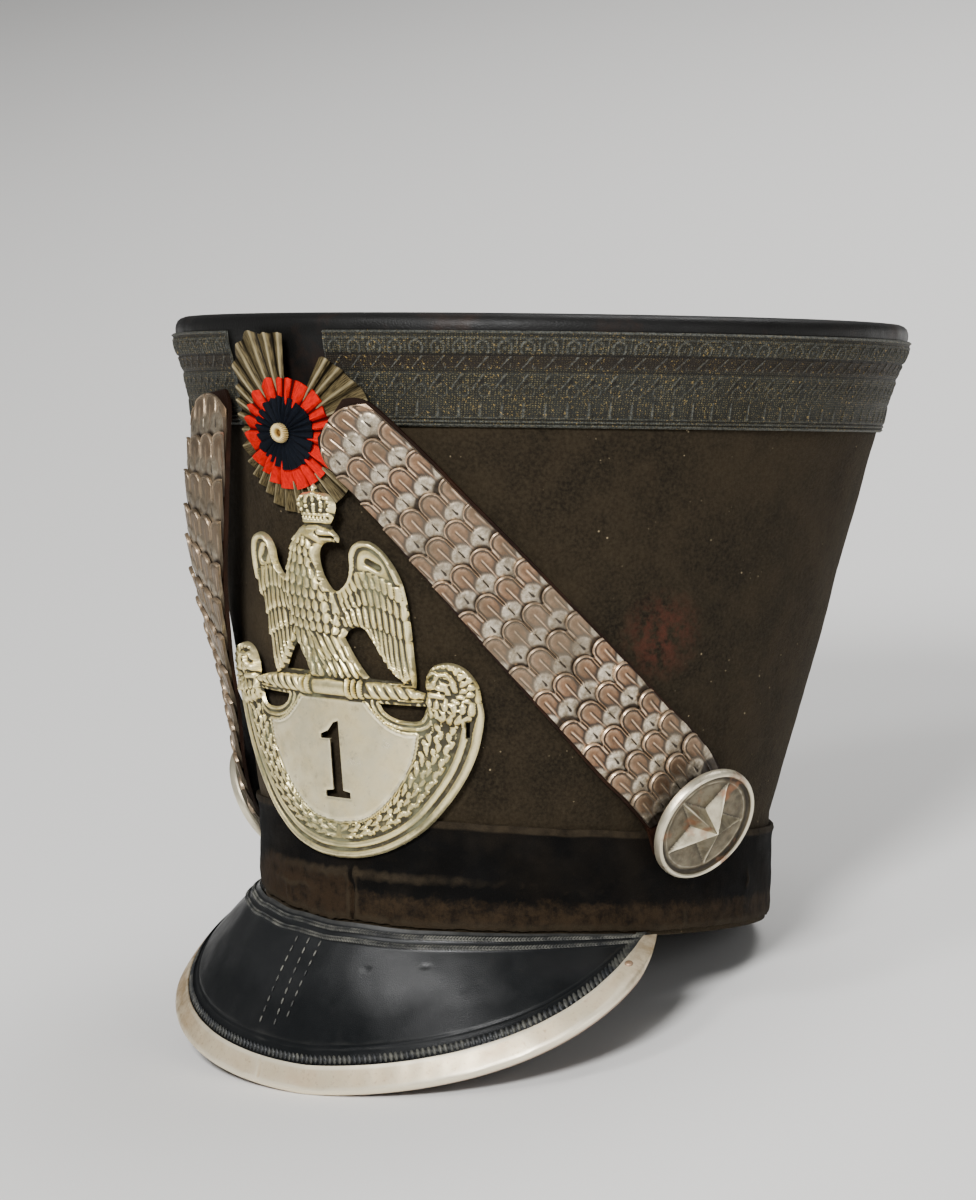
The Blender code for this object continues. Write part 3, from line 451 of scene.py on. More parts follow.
def metalFinish(slot, bright, dull, stain, roughness, metallic, dirt, dirtFrom, dirtTo, ridge, cloudSize,
                stainFrom=0.55, wearAndPaintedLight=None):
    startFinish(slot, roughness, metallic)
    cloud, fine = noiseOf(cloudSize, 5, 0.6), noiseOf(1.5, 5, 0.65)
    colour = colourOf(rangeOf(cloud, 0.4, 0.65), bright, dull)
    colour = colourOf(rangeOf(fine, stainFrom, 0.8, 0.0, 0.8), colour, stain)
    colour = byHollow(colour, ridge, -0.1, -0.6, 0.0, 0.85)
    grime = plus(attributeOf("hollow"), rangeOf(cloud, 0.3, 0.7, -0.06, 0.08))
    grime = rangeOf(grime, dirtFrom, dirtTo)
    colour = colourOf(grime, colour, dirt)
    gloss = plus(rangeOf(cloud, 0.3, 0.7, roughness - 0.07, roughness + 0.13), times(grime, 0.3))
    metal = minus(metallic, times(grime, metallic * 0.7))
    making.update(colour=colour, grime=grime, cloud=cloud)
    # wearAndPaintedLight adds stains and tarnish, and for the boss and the trim also painted highlight and
    # painted shade
    if wearAndPaintedLight:
        colour = wearAndPaintedLight(colour)
    return setSockets(Base_Color=colour, Roughness=gloss, Metallic=metal, Normal=bumpOf(fine, 0.06, 0.5))


def scaleFinish():
    metalFinish("scale_metal", (0.33, 0.18, 0.098), (0.24, 0.13, 0.07), (0.11, 0.062, 0.036), 0.38, 0.75,
                (0.03, 0.018, 0.011), -0.04, 0.4, (1.0, 0.74, 0.5), 5, 0.42)
    silver, toneAndShade = attributeOf("silver"), attributeOf("toneAndShade")
    pale = blotches((0.9, 0.8, 0.63), (0.34, 0.28, 0.19), (2.4, 5, 0.75), 0.4, 0.62)
    colour = colourOf(silver, making["colour"], pale)
    # toneAndShade up to 1 is each plate's own duller tone; from 1 to 2, on the left side, it is painted
    # shade
    colour = colourOf(rangeOf(toneAndShade, 0.0, 1.0, 0.0, 0.5), colour, (0.26, 0.21, 0.145))
    colour = colourOf(rangeOf(toneAndShade, 1.0, 2.0, 0.0, 0.6), colour, (0.13, 0.1, 0.06))
    colour = blotches(colour, (0.07, 0.045, 0.028), (0.9, 4, 0.8), 0.35, 0.65, 0.35, 0.0)
    colour = blotches(colour, (0.11, 0.086, 0.056), (13, 5, 0.6), 0.5, 0.7, 0.0, 0.65)
    colour = colourOf(times(making["grime"], silver), colour, (0.035, 0.026, 0.017))
    # painted shadow: darkened beside the tips of the plate that lies over this one
    shade = rangeOf(attributeOf("shade"), 0.0, 1.0, 0.0, 0.93)
    return setSockets(Base_Color=colourOf(shade, colour, (0.02, 0.012, 0.007)))


def ribbonFinish(slot, colourA, colourB, valleyShade, threads, roughness, metallic=0.0, ridge=None):
    startFinish(slot, roughness, metallic, Specular_IOR_Level=0.1)
    inputs = {"Vector": uvTimes(threads, 6.0), "Scale": 1.0, "Detail": 3.0}
    stripe = addNode("TexNoise", inputs).outputs["Fac"]
    colour = colourOf(rangeOf(stripe, 0.35, 0.65), colourA, colourB)
    # painted highlight on the pleats' ridges
    if ridge:
        colour = byHollow(colour, ridge, -0.2, -0.8, 0.0, 0.7)
    # painted shade in the hollows between the pleats and threads
    colour = byHollow(colour, valleyShade, 0.02, 0.6)
    height = plus(stripe, times(noiseOf(0.8, 3), 0.5))
    return setSockets(Base_Color=colour, Normal=bumpOf(height, 0.2, 0.7))


def laceFinish():  # dark tarnished metal thread, woven in fine dots
    startFinish("lace", 0.6, 0.15, Specular_IOR_Level=0.3)
    cells = addNode("TexVoronoi", {"Vector": uvTimes(730.0, 44.0), "Scale": 1.1, "Randomness": 0.35})
    dots = rangeOf(cells.outputs["Distance"], 0.42, 0.18)
    fine, level = noiseOf(0.9, 5, 0.8), uvParts()["Y"]
    brown = times(rangeOf(level, 0.53, 0.57), rangeOf(level, 0.71, 0.67))
    colour = blotches((0.0155, 0.0165, 0.0135), (0.0095, 0.0092, 0.0062), (20, 5, 0.6), 0.4, 0.65)
    colour = colourOf(brown, colour, (0.0125, 0.0085, 0.005))
    worn = times(rangeOf(fine, 0.4, 0.62, 0.15, 1.0), rangeOf(noiseOf(7, 4, 0.7), 0.3, 0.65, 0.3, 1.0))
    worn = times(worn, rangeOf(brown, 0.0, 1.0, 1.0, 0.35))
    colour = colourOf(times(dots, worn), colour, (0.235, 0.2, 0.095))
    lit = times(rangeOf(attributeOf("hollow"), -0.1, -0.7), rangeOf(fine, 0.42, 0.58, 0.05, 0.8))
    colour = colourOf(lit, colour, (0.125, 0.13, 0.115))
    colour = blotches(colour, (0.4, 0.27, 0.08), (1.0, 3, 0.8), 0.62, 0.69)
    colour = byHollow(colour, (0.006, 0.0045, 0.003), 0.05, 0.5, 0.0, 0.85)
    return setSockets(Base_Color=colour, Normal=bumpOf(plus(dots, times(fine, 2.0)), 0.25, 0.9))


felt = feltFinish()
topLeather = leatherFinish("top_leather", (0.005, 0.0048, 0.0045), (0.024, 0.011, 0.006), 0.46, 26, 0.55,
                           0.78, 1.1, 0.06, specular=0.22)
bandLeather = leatherFinish("band_leather", (0.0016, 0.0014, 0.0012), (0.0065, 0.0048, 0.0032), 0.85, 22,
                            0.45, 0.7, 0.9, 0.12, (0.03, 0.022, 0.013), 0.1)
peakLeather = leatherFinish("peak_leather", (0.0045, 0.0052, 0.0058), (0.008, 0.0085, 0.009), 0.36, 16, 0.5,
                            0.8, 0.6, 0.03, (0.04, 0.04, 0.037), 0.34)
peakThread = leatherFinish("peak_leather", (0.022, 0.023, 0.023), (0.15, 0.147, 0.125), 0.55, 9, 0.4, 0.64,
                           specular=0.35, name="peak_thread")
peakWhip = leatherFinish("peak_leather", (0.008, 0.0095, 0.0115), (0.09, 0.088, 0.07), 0.5, 7, 0.44, 0.7,
                         specular=0.45, name="peak_whipping")
strapLeather = leatherFinish("strap_leather", (0.012, 0.0045, 0.002), (0.04, 0.015, 0.007), 0.6,
                             specular=0.15)
peakMetal = metalFinish("peak_metal", (0.85, 0.72, 0.49), (0.72, 0.57, 0.37), (0.42, 0.27, 0.13), 0.42, 0.6,
                        (0.2, 0.11, 0.05), 0.25, 0.9, (0.93, 0.84, 0.64), 14, wearAndPaintedLight=trimStainsAndShade)
plateMetal = metalFinish("plate_metal", (0.93, 0.77, 0.33), (0.7, 0.55, 0.21), (0.26, 0.2, 0.08), 0.34, 0.85,
                         (0.036, 0.03, 0.014), -0.03, 0.42, (1.0, 0.88, 0.5), 7, wearAndPaintedLight=plateTarnish)
scaleMetal = scaleFinish()
bossMetal = metalFinish("boss_metal", (0.2, 0.172, 0.118), (0.1, 0.085, 0.058), (0.1, 0.062, 0.034), 0.36,
                        0.85, (0.03, 0.023, 0.014), 0.0, 0.6, (0.9, 0.82, 0.62), 8, 0.5, bossStar)
lace = laceFinish()
silverRibbon = ribbonFinish("silver_ribbon", (0.018, 0.012, 0.005), (0.148, 0.114, 0.052),
                            (0.005, 0.0035, 0.0013), 520.0, 0.6, 0.1, (0.42, 0.35, 0.2))
redRibbon = ribbonFinish("red_ribbon", (0.44, 0.0022, 0.0008), (0.64, 0.0065, 0.0012),
                         (0.05, 0.0008, 0.0004), 160.0, 0.85)
blueRibbon = ribbonFinish("blue_ribbon", (0.0014, 0.0022, 0.0042), (0.0026, 0.0045, 0.009),
                          (0.0006, 0.0006, 0.001), 160.0, 0.75, 0.0, (0.007, 0.011, 0.018))
goldThread = ribbonFinish("gold_thread", (0.34, 0.2, 0.045), (0.62, 0.44, 0.15), (0.12, 0.055, 0.012), 60.0,
                          0.5, 0.4, (0.86, 0.72, 0.38))
print("finishes made")


# felt body: its rows run up the outside and down the inside
feltBody = {"columns": 240, "rows": 92, "innerRows": 20, "thickness": 2.0, "out": -1.0, "swell": 0.6,
            "laceBottom": 166.4, "top": 196.2, "clear": (46.0, 10.0, 164.0, 6.0), "lump": (0.55, 26.0),
            "underTop": ((166.4, -1.0), (168.3, -2.3), (186.0, -2.1), (196.2, -0.95)), "nap": (0.12, 5.0)}


def feltOut(z):
    low, high = body["bandHeight"], feltBody["laceBottom"]
    if z > high:
        return readRows(feltBody["underTop"], z)
    return feltBody["out"] + feltBody["swell"] * math.sin(math.pi * min(max((z - low) / (high - low), 0), 1))


def makeFelt():
    rows, inner = feltBody["rows"], feltBody["innerRows"]
    low, lowOver, high, highOver = feltBody["clear"]
    (lumpDepth, lumpSize), (napDepth, napSize) = feltBody["lump"], feltBody["nap"]

    def place(u, i):
        turn = 360.0 * u - 180.0
        z = feltBody["top"] * (i / rows if i <= rows else (rows + inner + 1 - i) / inner)
        point = bodyPoint(turn, z)
        clear = ease((z - low) / lowOver) * ease((high - z) / highOver)
        dent = lumpDepth * clear * (lumps(point, lumpSize) - 0.6)
        dent += napDepth * clear * lumps(point, napSize, 4.0)
        return bodyPoint(turn, z, feltOut(z) + dent - (feltBody["thickness"] if i > rows else 0.0))

    piece = tubePiece("felt_body", feltBody["columns"], rows + inner + 2, place)
    return finishPiece(piece, felt, "crown_shell", smoothAngle=60.0)


makeFelt()
print("felt body made")


# leather top: out and z along its section, out counted from the body's outline to the middle
topDisc = {"columns": 240, "underSpacing": 6.0, "spacing": 1.6, "radius": 124.0, "discFrom": -14.0,
           "under": ((-124.0, 196.6), (-60.0, 196.6), (-14.0, 196.6), (-2.5, 196.6), (-0.7, 196.0),
                     (-0.8, 194.5), (-1.75, 186.0), (-2.0, 170.0), (-2.0, 168.5)),
           "outside": ((-1.0, 168.5), (-1.0, 170.0), (-0.7, 186.0), (0.8, 196.0), (0.3, 200.2),
                       (-1.6, 202.3), (-4.8, 203.0), (-8.5, 202.0), (-15.0, 199.0), (-22.0, 198.5),
                       (-60.0, 198.0), (-124.0, 197.6))}


def makeTopLeather():
    disc = topDisc
    run = flatSmooth(disc["under"], disc["underSpacing"]) + flatSmooth(disc["outside"], disc["spacing"])

    def place(u, v):
        turn = 360.0 * u - 180.0
        out, z, _ = alongRun(run, v)
        if out > disc["discFrom"]:
            return bodyPoint(turn, z, out)
        middle = Vector((0.0, bodyOval(z)[2], z))
        point = middle.lerp(bodyPoint(turn, z), 1.0 + out / disc["radius"])
        if v > 0.4:
            sag = lumps(point, 34.0, 3.0) * 0.9 + lumps(point, 12.0, 8.0) * 0.25
            point.z += sag * ease((disc["discFrom"] - out) / 12.0)
        return point

    piece = gridPiece("top_leather", disc["columns"], len(run) - 1, place, closed=True)
    return finishPiece(piece, topLeather, "crown_top", smoothAngle=50.0)


makeTopLeather()
print("leather top made")


# woven lace round the top, open behind the cockade
topLace = {"columns": 1300, "rows": 52, "start": 3.0, "stop": 341.5, "bottom": 166.4, "top": 197.2,
           "radius": 124.0, "outs": ((166.4, 0.5), (176.0, 0.25), (186.0, 0.8), (193.5, 2.1), (197.2, 1.9)),
           "back": ((197.2, 1.0), (192.0, 0.9), (186.0, -0.35), (166.4, -0.7)), "edgeRound": 0.5}
laceWeave = {"period": 7.3, "ribWidth": 0.62, "medallionZ": 191.6, "ring": 2.2,
             "ribs": ((167.0, 0.5), (168.2, 0.45), (169.4, 0.3), (184.4, -0.35), (189.6, -0.25),
                      (195.0, 0.35), (196.6, 0.6))}


def medallionRise(across, z):
    away = math.hypot(across, (z - laceWeave["medallionZ"]) * 0.9)
    rise = 0.42 * near(away - laceWeave["ring"], 0.6) + 0.35 * near(away, 0.9)
    return rise + 0.25 * near(abs(across) - laceWeave["period"] / 2, 0.45)


def scrollRise(across, z):
    rise = 0.42 * near(across - (z - 187.0) * 0.9, 0.7) * ease((z - 185.0) / 1.0)
    return rise + 0.25 * near(across - 1.6 + (z - 187.0) * 0.5, 0.5) * ease((189.4 - z) / 2.0)


def stemRise(across, z):
    rise = 0.36 * near(across - (z - 180.6) * 0.75 + 1.4, 0.6)
    rise *= ease((z - 177.5) / 1.5) * ease((183.8 - z) / 1.0)
    rise += 0.26 * near(math.hypot(across - 1.2, z - 178.0) - 1.9, 0.55)
    return rise - 0.2 * near(across - 0.4, 1.2) * near(z - 181.0, 2.0)


def toothRise(across, z):
    half = 1.1 * (1.0 - (z - 169.8) / 5.4) + 0.2
    return 0.45 * max(0.0, 1.0 - abs(across) / half)


laceFigures = ((189.8, 194.9, medallionRise), (185.0, 189.5, scrollRise), (175.5, 183.9, stemRise),
               (169.8, 175.2, toothRise))


def laceRise(x, z):
    weave, period = laceWeave, laceWeave["period"]
    rise = sum(height * near(z - level, weave["ribWidth"]) for level, height in weave["ribs"])
    across = (x / period % 1.0 - 0.5) * period
    for low, high, figureRise in laceFigures:
        if low < z < high:
            rise += figureRise(across, z)
    return rise


def makeLace():
    shape = topLace
    rows, back = shape["rows"], shape["back"]

    def place(u, i):
        turn = mix(shape["start"], shape["stop"], u)
        x = math.radians(turn) * shape["radius"]
        if i > rows:
            z, out = back[i - rows - 1]
            return bodyPoint(turn, z, out)
        z = mix(shape["bottom"], shape["top"], i / rows)
        edge = ease(min(z - shape["bottom"], shape["top"] - z) / shape["edgeRound"] + 0.2)
        out = readRows(shape["outs"], z) + laceRise(x, z) * edge + 0.12 * lumps(Vector((x, z, 0)), 9.0)
        return bodyPoint(turn, z, out - 0.3 * (1.0 - edge))

    piece = tubePiece("top_lace", shape["columns"], rows + 1 + len(back), place, closed=False)
    markHollows(piece, 0.3, 5)
    return finishPiece(piece, lace, "top_galon", smoothAngle=60.0)


makeLace()
print("lace made")


# band round the rim, with a fold and a tear at the front; jointRows is the peak's joint, turn and z
jointRows = ((-110, 1), (-90, 4), (-76, 9), (-60, 12), (-45, 11), (-30, 8.5), (-15, 6), (0, 4), (20, 2.5),
             (45, 2), (76, 1), (110, 1))
lowerBand = {"columns": 600, "rows": 40, "innerRows": 6, "inner": -0.7, "top": 37.2, "topRise": 5.0,
             "highTurn": -53.0, "bottom": 1.0, "gap": 0.3, "ringRadius": 80.0,
             "ragged": 0.9, "raggedTurns": (75.0, 180.0, 20.0), "scrap": (-9.0, 9.0, 1.5),
             "foldTurn": 2.0, "foldSpan": 46.0, "fold": 1.2, "second": (-18.0, 17.0, 0.25, 0.8),
             "tear": (2.6, 4.0, 24.0), "cracks": ((80.0, 6.0), (103.0, 16.0), (-20.0, 12.0)),
             "outs": ((0.0, 0.1), (0.04, 0.5), (0.30, 0.4), (0.44, 0.5), (0.56, 0.4), (0.90, 0.5),
                      (0.95, 0.9), (1.0, 0.5)),
             "folded": ((0.30, 0.0), (0.44, 1.0), (0.56, 0.2), (0.92, 0.0))}


def bandEdges(turn, ring):  # the band's worn lower edge and its upper edge, in z
    band = lowerBand
    low = max(band["bottom"], readRows(jointRows, turn) + band["gap"])
    high = band["top"] + band["topRise"] * math.cos(math.radians(turn - band["highTurn"]))
    first, last, over = band["raggedTurns"]
    ragged = band["ragged"] * (0.5 + 0.5 * lumps(ring, 4.0) + 0.4 * lumps(ring, 1.3, 5.0))
    low += ragged * ease((turn + first) / over) * ease((last - turn) / over)
    scrapTurn, scrapWidth, scrapDrop = band["scrap"]
    low -= scrapDrop * near(turn - scrapTurn, scrapWidth) * (0.6 + 0.9 * lumps(ring, 2.6, 9.0))
    return low, high


def bandWrinkle(turn, v, point, ring):
    stretched = Vector((point.x / 3.0, point.y / 3.0, point.z))
    wrinkle = 0.32 * lumps(stretched, 6.0) + 0.16 * lumps(point, 2.2, 3.0) * (1.0 - v)
    wrinkle *= ease(v / 0.15) * ease((1.0 - v) / 0.15)
    foldTurn, span, level, rise = lowerBand["second"]
    wrinkle += rise * near(turn - foldTurn, span) * near(v - level - 0.03 * lumps(ring, 7.0), 0.07)
    torn, low, high = lowerBand["tear"]
    if low < point.z < high:
        offset = turn - torn - 0.35 * lumps(point, 3.0)
        split = 0.5 * near(abs(offset) - 1.1, 0.9) - near(offset, 0.8)
        wrinkle += split * ease((high - point.z) / 4.0)
    for crackTurn, crackZ in lowerBand["cracks"]:
        beside, above = turn - crackTurn - 1.5 * lumps(point, 5.0), point.z - crackZ
        wrinkle += 0.5 * near(beside, 1.2) * near(above, 6.0)
    return wrinkle


def makeLowerBand():
    band = lowerBand
    rows, inner = band["rows"], band["innerRows"]

    def place(u, i):
        turn = 360.0 * u - 180.0
        v = i / rows if i <= rows else (rows + inner + 1 - i) / inner
        angle = math.radians(turn)
        ring = Vector((math.sin(angle) * band["ringRadius"], math.cos(angle) * band["ringRadius"], 0.0))
        low, high = bandEdges(turn, ring)
        if i > rows:
            return bodyPoint(turn, mix(low, high, v), band["inner"])
        fold = band["fold"] * near(turn - band["foldTurn"], band["foldSpan"])
        folded = readRows(band["folded"], v) if v > band["folded"][0][0] else 0.0
        high += 0.35 * lumps(ring, 9.0, 2.0)
        point = bodyPoint(turn, mix(low, high, v))
        out = readRows(band["outs"], v) + fold * folded + bandWrinkle(turn, v, point, ring)
        return bodyPoint(turn, point.z, out)

    piece = tubePiece("rim_band", band["columns"], rows + inner + 2, place)
    markHollows(piece, 0.5, 8)
    return finishPiece(piece, bandLeather, "lower_band", smoothAngle=60.0)


makeLowerBand()
print("lower band made")


# peak: its leather, and the metal folded over the edge
peak = {"halfTurn": 73.5, "depth": 54.0, "slopeFront": 68.5, "slopeEnd": 19.0, "narrowing": (1.38, 0.24),
        "forward": 0.59, "crown": 2.6, "thickness": 1.8, "end": 0.97, "inset": 1.71, "columns": 300,
        "rows": 100, "welt": (0.45, 11.0, 1.9), "line": (0.3, 15.2, 0.7), "cord": (0.35, 2.8, 6.2, 1.3),
        "dent": (0.3, 1.7), "dents": ((0.13, 16.2), (0.31, 14.4)), "under": (1.0, 0.8, 0.5, 0.2)}
peakTrim = {"end": 0.987, "width": 9.0, "underWidth": 6.0, "wall": 0.6, "fold": 1.32, "gap": 0.3,
            "columns": 640, "lower": -2.1, "solder": -0.16, "rivet": (0.915, 0.6),
            "rivetSize": (1.5, 1.5, 0.8), "rivetSpot": (0.1, 0.55)}


def peakEdge(u):
    turn = peak["halfTurn"] * u
    power, root = peak["narrowing"]
    depth = peak["depth"] * max(1.0 - abs(u) ** power, 0.0) ** root
    slope = math.radians(mix(peak["slopeFront"], peak["slopeEnd"], u * u))
    start = bodyPoint(turn, 0.0)
    level = bodyPoint(turn, 0.0, 1.0) - start
    lean = peak["forward"] * abs(u)
    level = (level * (1.0 - lean) + Vector((0.0, -1.0, 0.0)) * lean).normalized()
    return start + level * (depth * math.cos(slope)) - Vector((0, 0, 1)) * (depth * math.sin(slope) + 0.7)


peakFrames = {}


def peakFrame(u):  # root, edge, outward normal and the edge's direction at station u
    if u not in peakFrames:
        turn = peak["halfTurn"] * u
        root = bodyPoint(turn, readRows(jointRows, turn), 0.9)
        edge = peakEdge(u)
        along = (peakEdge(min(u + 0.01, 0.999)) - peakEdge(max(u - 0.01, -0.999))).normalized()
        peakFrames[u] = root, edge, along.cross(edge - root).normalized() * -1.0, along
    return peakFrames[u]


def peakPoint(u, v, lift=0.0):
    root, edge, normal, _ = peakFrame(u)
    bulge = peak["crown"] * ((edge - root).length / peak["depth"]) ** 1.5
    return root.lerp(edge, v) + normal * (bulge * 4.0 * v * (1.0 - v) + lift)


def peakShare(u, distance):  # share v that lies distance inside the edge
    root, edge, _, along = peakFrame(u)
    return max(0.0, 1.0 - distance / (edge - root).cross(along).length)


def peakRise(u, v, inside, below):  # welt and line along the edge, two cords along the joint, two dents
    welt, weltAt, weltWidth = peak["welt"]
    line, lineAt, lineWidth = peak["line"]
    cord, upperAt, lowerAt, cordWidth = peak["cord"]
    depth, radius = peak["dent"]
    rise = welt * near(inside - weltAt, weltWidth) - line * near(inside - lineAt, lineWidth)
    rise += cord * (near(below - upperAt, cordWidth) + near(below - lowerAt, cordWidth))
    for across, down in peak["dents"]:
        rise -= depth * near(math.hypot((u - across) * 100.0, v * 60.0 - down), radius)
    return rise


def makePeak():
    rows, under = peak["rows"], peak["under"]

    def place(w, i):
        u = peak["end"] * math.sin(math.pi * (0.5 - w))
        root, edge, normal, along = peakFrame(u)
        rim = peakShare(u, peak["inset"])
        if i > rows + len(under):
            turn = peak["halfTurn"] * u
            return bodyPoint(turn, readRows(jointRows, turn) - peak["thickness"], -0.7)
        if i > rows:
            return peakPoint(u, rim * under[i - rows - 1], -peak["thickness"])
        v = rim * i / rows
        inside = (1.0 - v) * (edge - root).cross(along).length
        rise = peakRise(u, v, inside, v * (edge - root).length)
        point = peakPoint(u, v)
        return point + normal * (rise + 0.16 * lumps(point, 9.0) * min(inside / 8.0, 1.0))

    piece = tubePiece("peak_leather", peak["columns"], rows + 2 + len(under), place, closed=False)
    markHollows(piece, 0.3, 6)
    return finishPiece(piece, peakLeather, "visor", smoothAngle=60.0)


def makeRivet():  # one low head, sunk in the trim near its end
    deselectAll()
    bpy.ops.mesh.primitive_uv_sphere_add(segments=20, ring_count=10, radius=1.0)
    rivet = bpy.context.object
    u, v = peakTrim["rivet"]
    _, _, normal, along = peakFrame(u)
    outward = along.cross(normal.cross(along).normalized())
    setOn(rivet, peakPoint(u, v, peakTrim["gap"] + peakTrim["wall"]), along, outward, peakTrim["rivetSize"])
    for corner in rivet.data.uv_layers[0].data:
        corner.uv = peakTrim["rivetSpot"]
    return rivet


def trimRing(u):  # section of the edging at station u: share down the peak, and lift
    trim = peakTrim
    gap, thick, lower = trim["gap"], trim["wall"], trim["lower"]
    inner = max(peakShare(u, trim["width"]), 0.1)
    under = max(peakShare(u, trim["underWidth"]), 0.25)
    wall, fold = peakShare(u, trim["wall"]), peakShare(u, trim["fold"])
    ring = [(inner, gap), (inner, gap + thick * 0.7), (mix(inner, wall, 0.04), gap + thick)]
    ring += [(mix(inner, wall, share), gap + thick) for share in (0.2, 0.4, 0.6, 0.8, 0.93)]
    ring += [(wall, gap + thick * 0.6), (mix(wall, 1.0, 0.7), 0.15), (1.0, -0.5), (1.0, -1.1)]
    ring += [(mix(wall, 1.0, 0.6), lower + 0.3), (wall, lower), (fold, lower - thick)]
    ring += [(under, lower - thick), (under, lower), (fold, lower), (wall, gap)]
    return ring + [(mix(inner, wall, 0.5), gap)]


def makePeakTrim():
    trim = peakTrim

    def place(w, i):
        u = trim["end"] * math.sin(math.pi * (0.5 - w))
        share, lift = trimRing(u)[i]
        worn = 0.18 * lumps(Vector((u * 60.0, share * 20.0, 0.0)), 3.0) if 0 < i < 8 else 0.0
        if i < 14:  # a soldered joint
            worn -= 0.25 * near((u - trim["solder"] + 0.004 * math.sin(i)) * 150.0, 1.1)
        return peakPoint(u, share, lift + worn)

    channel = tubePiece("peak_trim", trim["columns"], 20, place, closed=False)
    piece = joinPieces("peak_trim", [channel, makeRivet()])
    markHollows(piece, 0.3, 4)
    return finishPiece(piece, peakMetal, "visor_trim", smoothAngle=45.0)


makePeak()
makePeakTrim()
print("peak made")


# straps, with their scales and bosses: turn, z and out along each path
strap = {"widths": (33.0, 25.0), "margin": 0.8, "thickness": 1.2, "roundEnd": 13.0, "beyond": 2.5,
         "columns": 20, "spacing": 1.5,
         "right": ((79.5, 35.0, 2.9), (75.6, 46.3, 2.4), (68.0, 57.6, 1.5), (59.2, 69.6, 0.8),
                   (40.5, 100.2, 0.6), (24.8, 130.0, 2.6), (17.3, 146.3, 5.4), (10.8, 160.0, 7.6),
                   (5.9, 168.8, 8.2)),
         "left": ((-79.5, 35.0, 2.9), (-66.0, 46.0, 2.7), (-53.0, 61.0, 1.8), (-42.5, 80.0, 2.0),
                  (-34.0, 99.0, 5.8), (-28.5, 118.0, 8.8), (-24.5, 138.0, 9.6), (-22.8, 158.0, 7.6),
                  (-23.2, 177.0, 2.4))}


def strapPath(rows):
    path, length, last = [], 0.0, None
    for turn, z, out in smoothRun(rows, 2.0):
        point = bodyPoint(turn, z, out)
        length += (point - last).length if last else 0.0
        path.append((length, point, bodyNormal(turn, z)))
        last = point
    return path


def strapSpot(path, length):
    for (l0, p0, n0), (l1, p1, n1) in zip(path, path[1:]):
        if length <= l1 or l1 == path[-1][0]:
            share = (length - l0) / (l1 - l0)
            return p0.lerp(p1, share), n0.lerp(n1, share)


strapFrames = {}


def strapPlace(path, length, across, lift):
    key = (id(path), round(length, 3))
    if key not in strapFrames:
        point, normal = strapSpot(path, length)
        ahead = (strapSpot(path, length + 3.0)[0] - strapSpot(path, length - 3.0)[0]).normalized()
        normal = (normal - ahead * normal.dot(ahead)).normalized()
        strapFrames[key] = point, ahead.cross(normal), normal
    point, side, normal = strapFrames[key]
    return point + side * across + normal * lift


def strapHalfWidth(path, length):
    return mix(*strap["widths"], min(max(length / path[-1][0], 0.0), 1.0)) / 2


def makeStrap(name, node, path):
    end = path[-1][0]

    def place(u, v):
        length = end * v
        half = strapHalfWidth(path, length) + strap["margin"]
        left = end + strap["beyond"] - length
        if left < strap["roundEnd"]:
            half *= math.sqrt(max(1.0 - (1.0 - left / strap["roundEnd"]) ** 2 * 0.96, 0.04))
        return strapPlace(path, length, mix(-half, half, u), strap["thickness"])

    piece = gridPiece(name, strap["columns"], round(end / strap["spacing"]), place)
    thicken(piece, strap["thickness"])
    return finishPiece(piece, strapLeather, node)


paths = {side: strapPath(strap[side]) for side in ("right", "left")}
for side in paths:
    makeStrap("strap_leather_" + side, "strap_" + side, paths[side])
print("straps made")


# front plate: one stamped sheet, an eagle over a shield with a pierced numeral.
# Its outline and forms are drawn from the front, x across and z up, then laid round the body
shieldSide = [(49.2, 80.5), (49.4, 76.0), (48.6, 71.0), (46.6, 63.5), (43.0, 55.0), (37.5, 46.0),
              (29.5, 36.5), (19.5, 29.6), (9.0, 26.0), (0.0, 25.1)]
lionSide = [(34.0, 81.8), (33.8, 85.8), (36.2, 90.6), (41.0, 92.4), (45.6, 90.8), (48.6, 86.0), (49.2, 80.5)]
fieldSide = [(13.0, 77.2), (15.8, 73.8), (20.4, 69.8), (25.2, 67.9), (29.6, 67.8)]
fieldFlank = [(29.6, 67.8), (27.6, 59.6), (23.2, 51.2), (16.8, 43.6), (9.6, 38.7), (0.0, 37.0)]
wreathLine = [(40.6, 74.0), (38.6, 64.0), (34.0, 54.0), (27.0, 44.6), (17.6, 37.4), (8.0, 33.4), (0.0, 32.4)]


def mirrored(points):
    return [(-x, z) for x, z in reversed(points)]


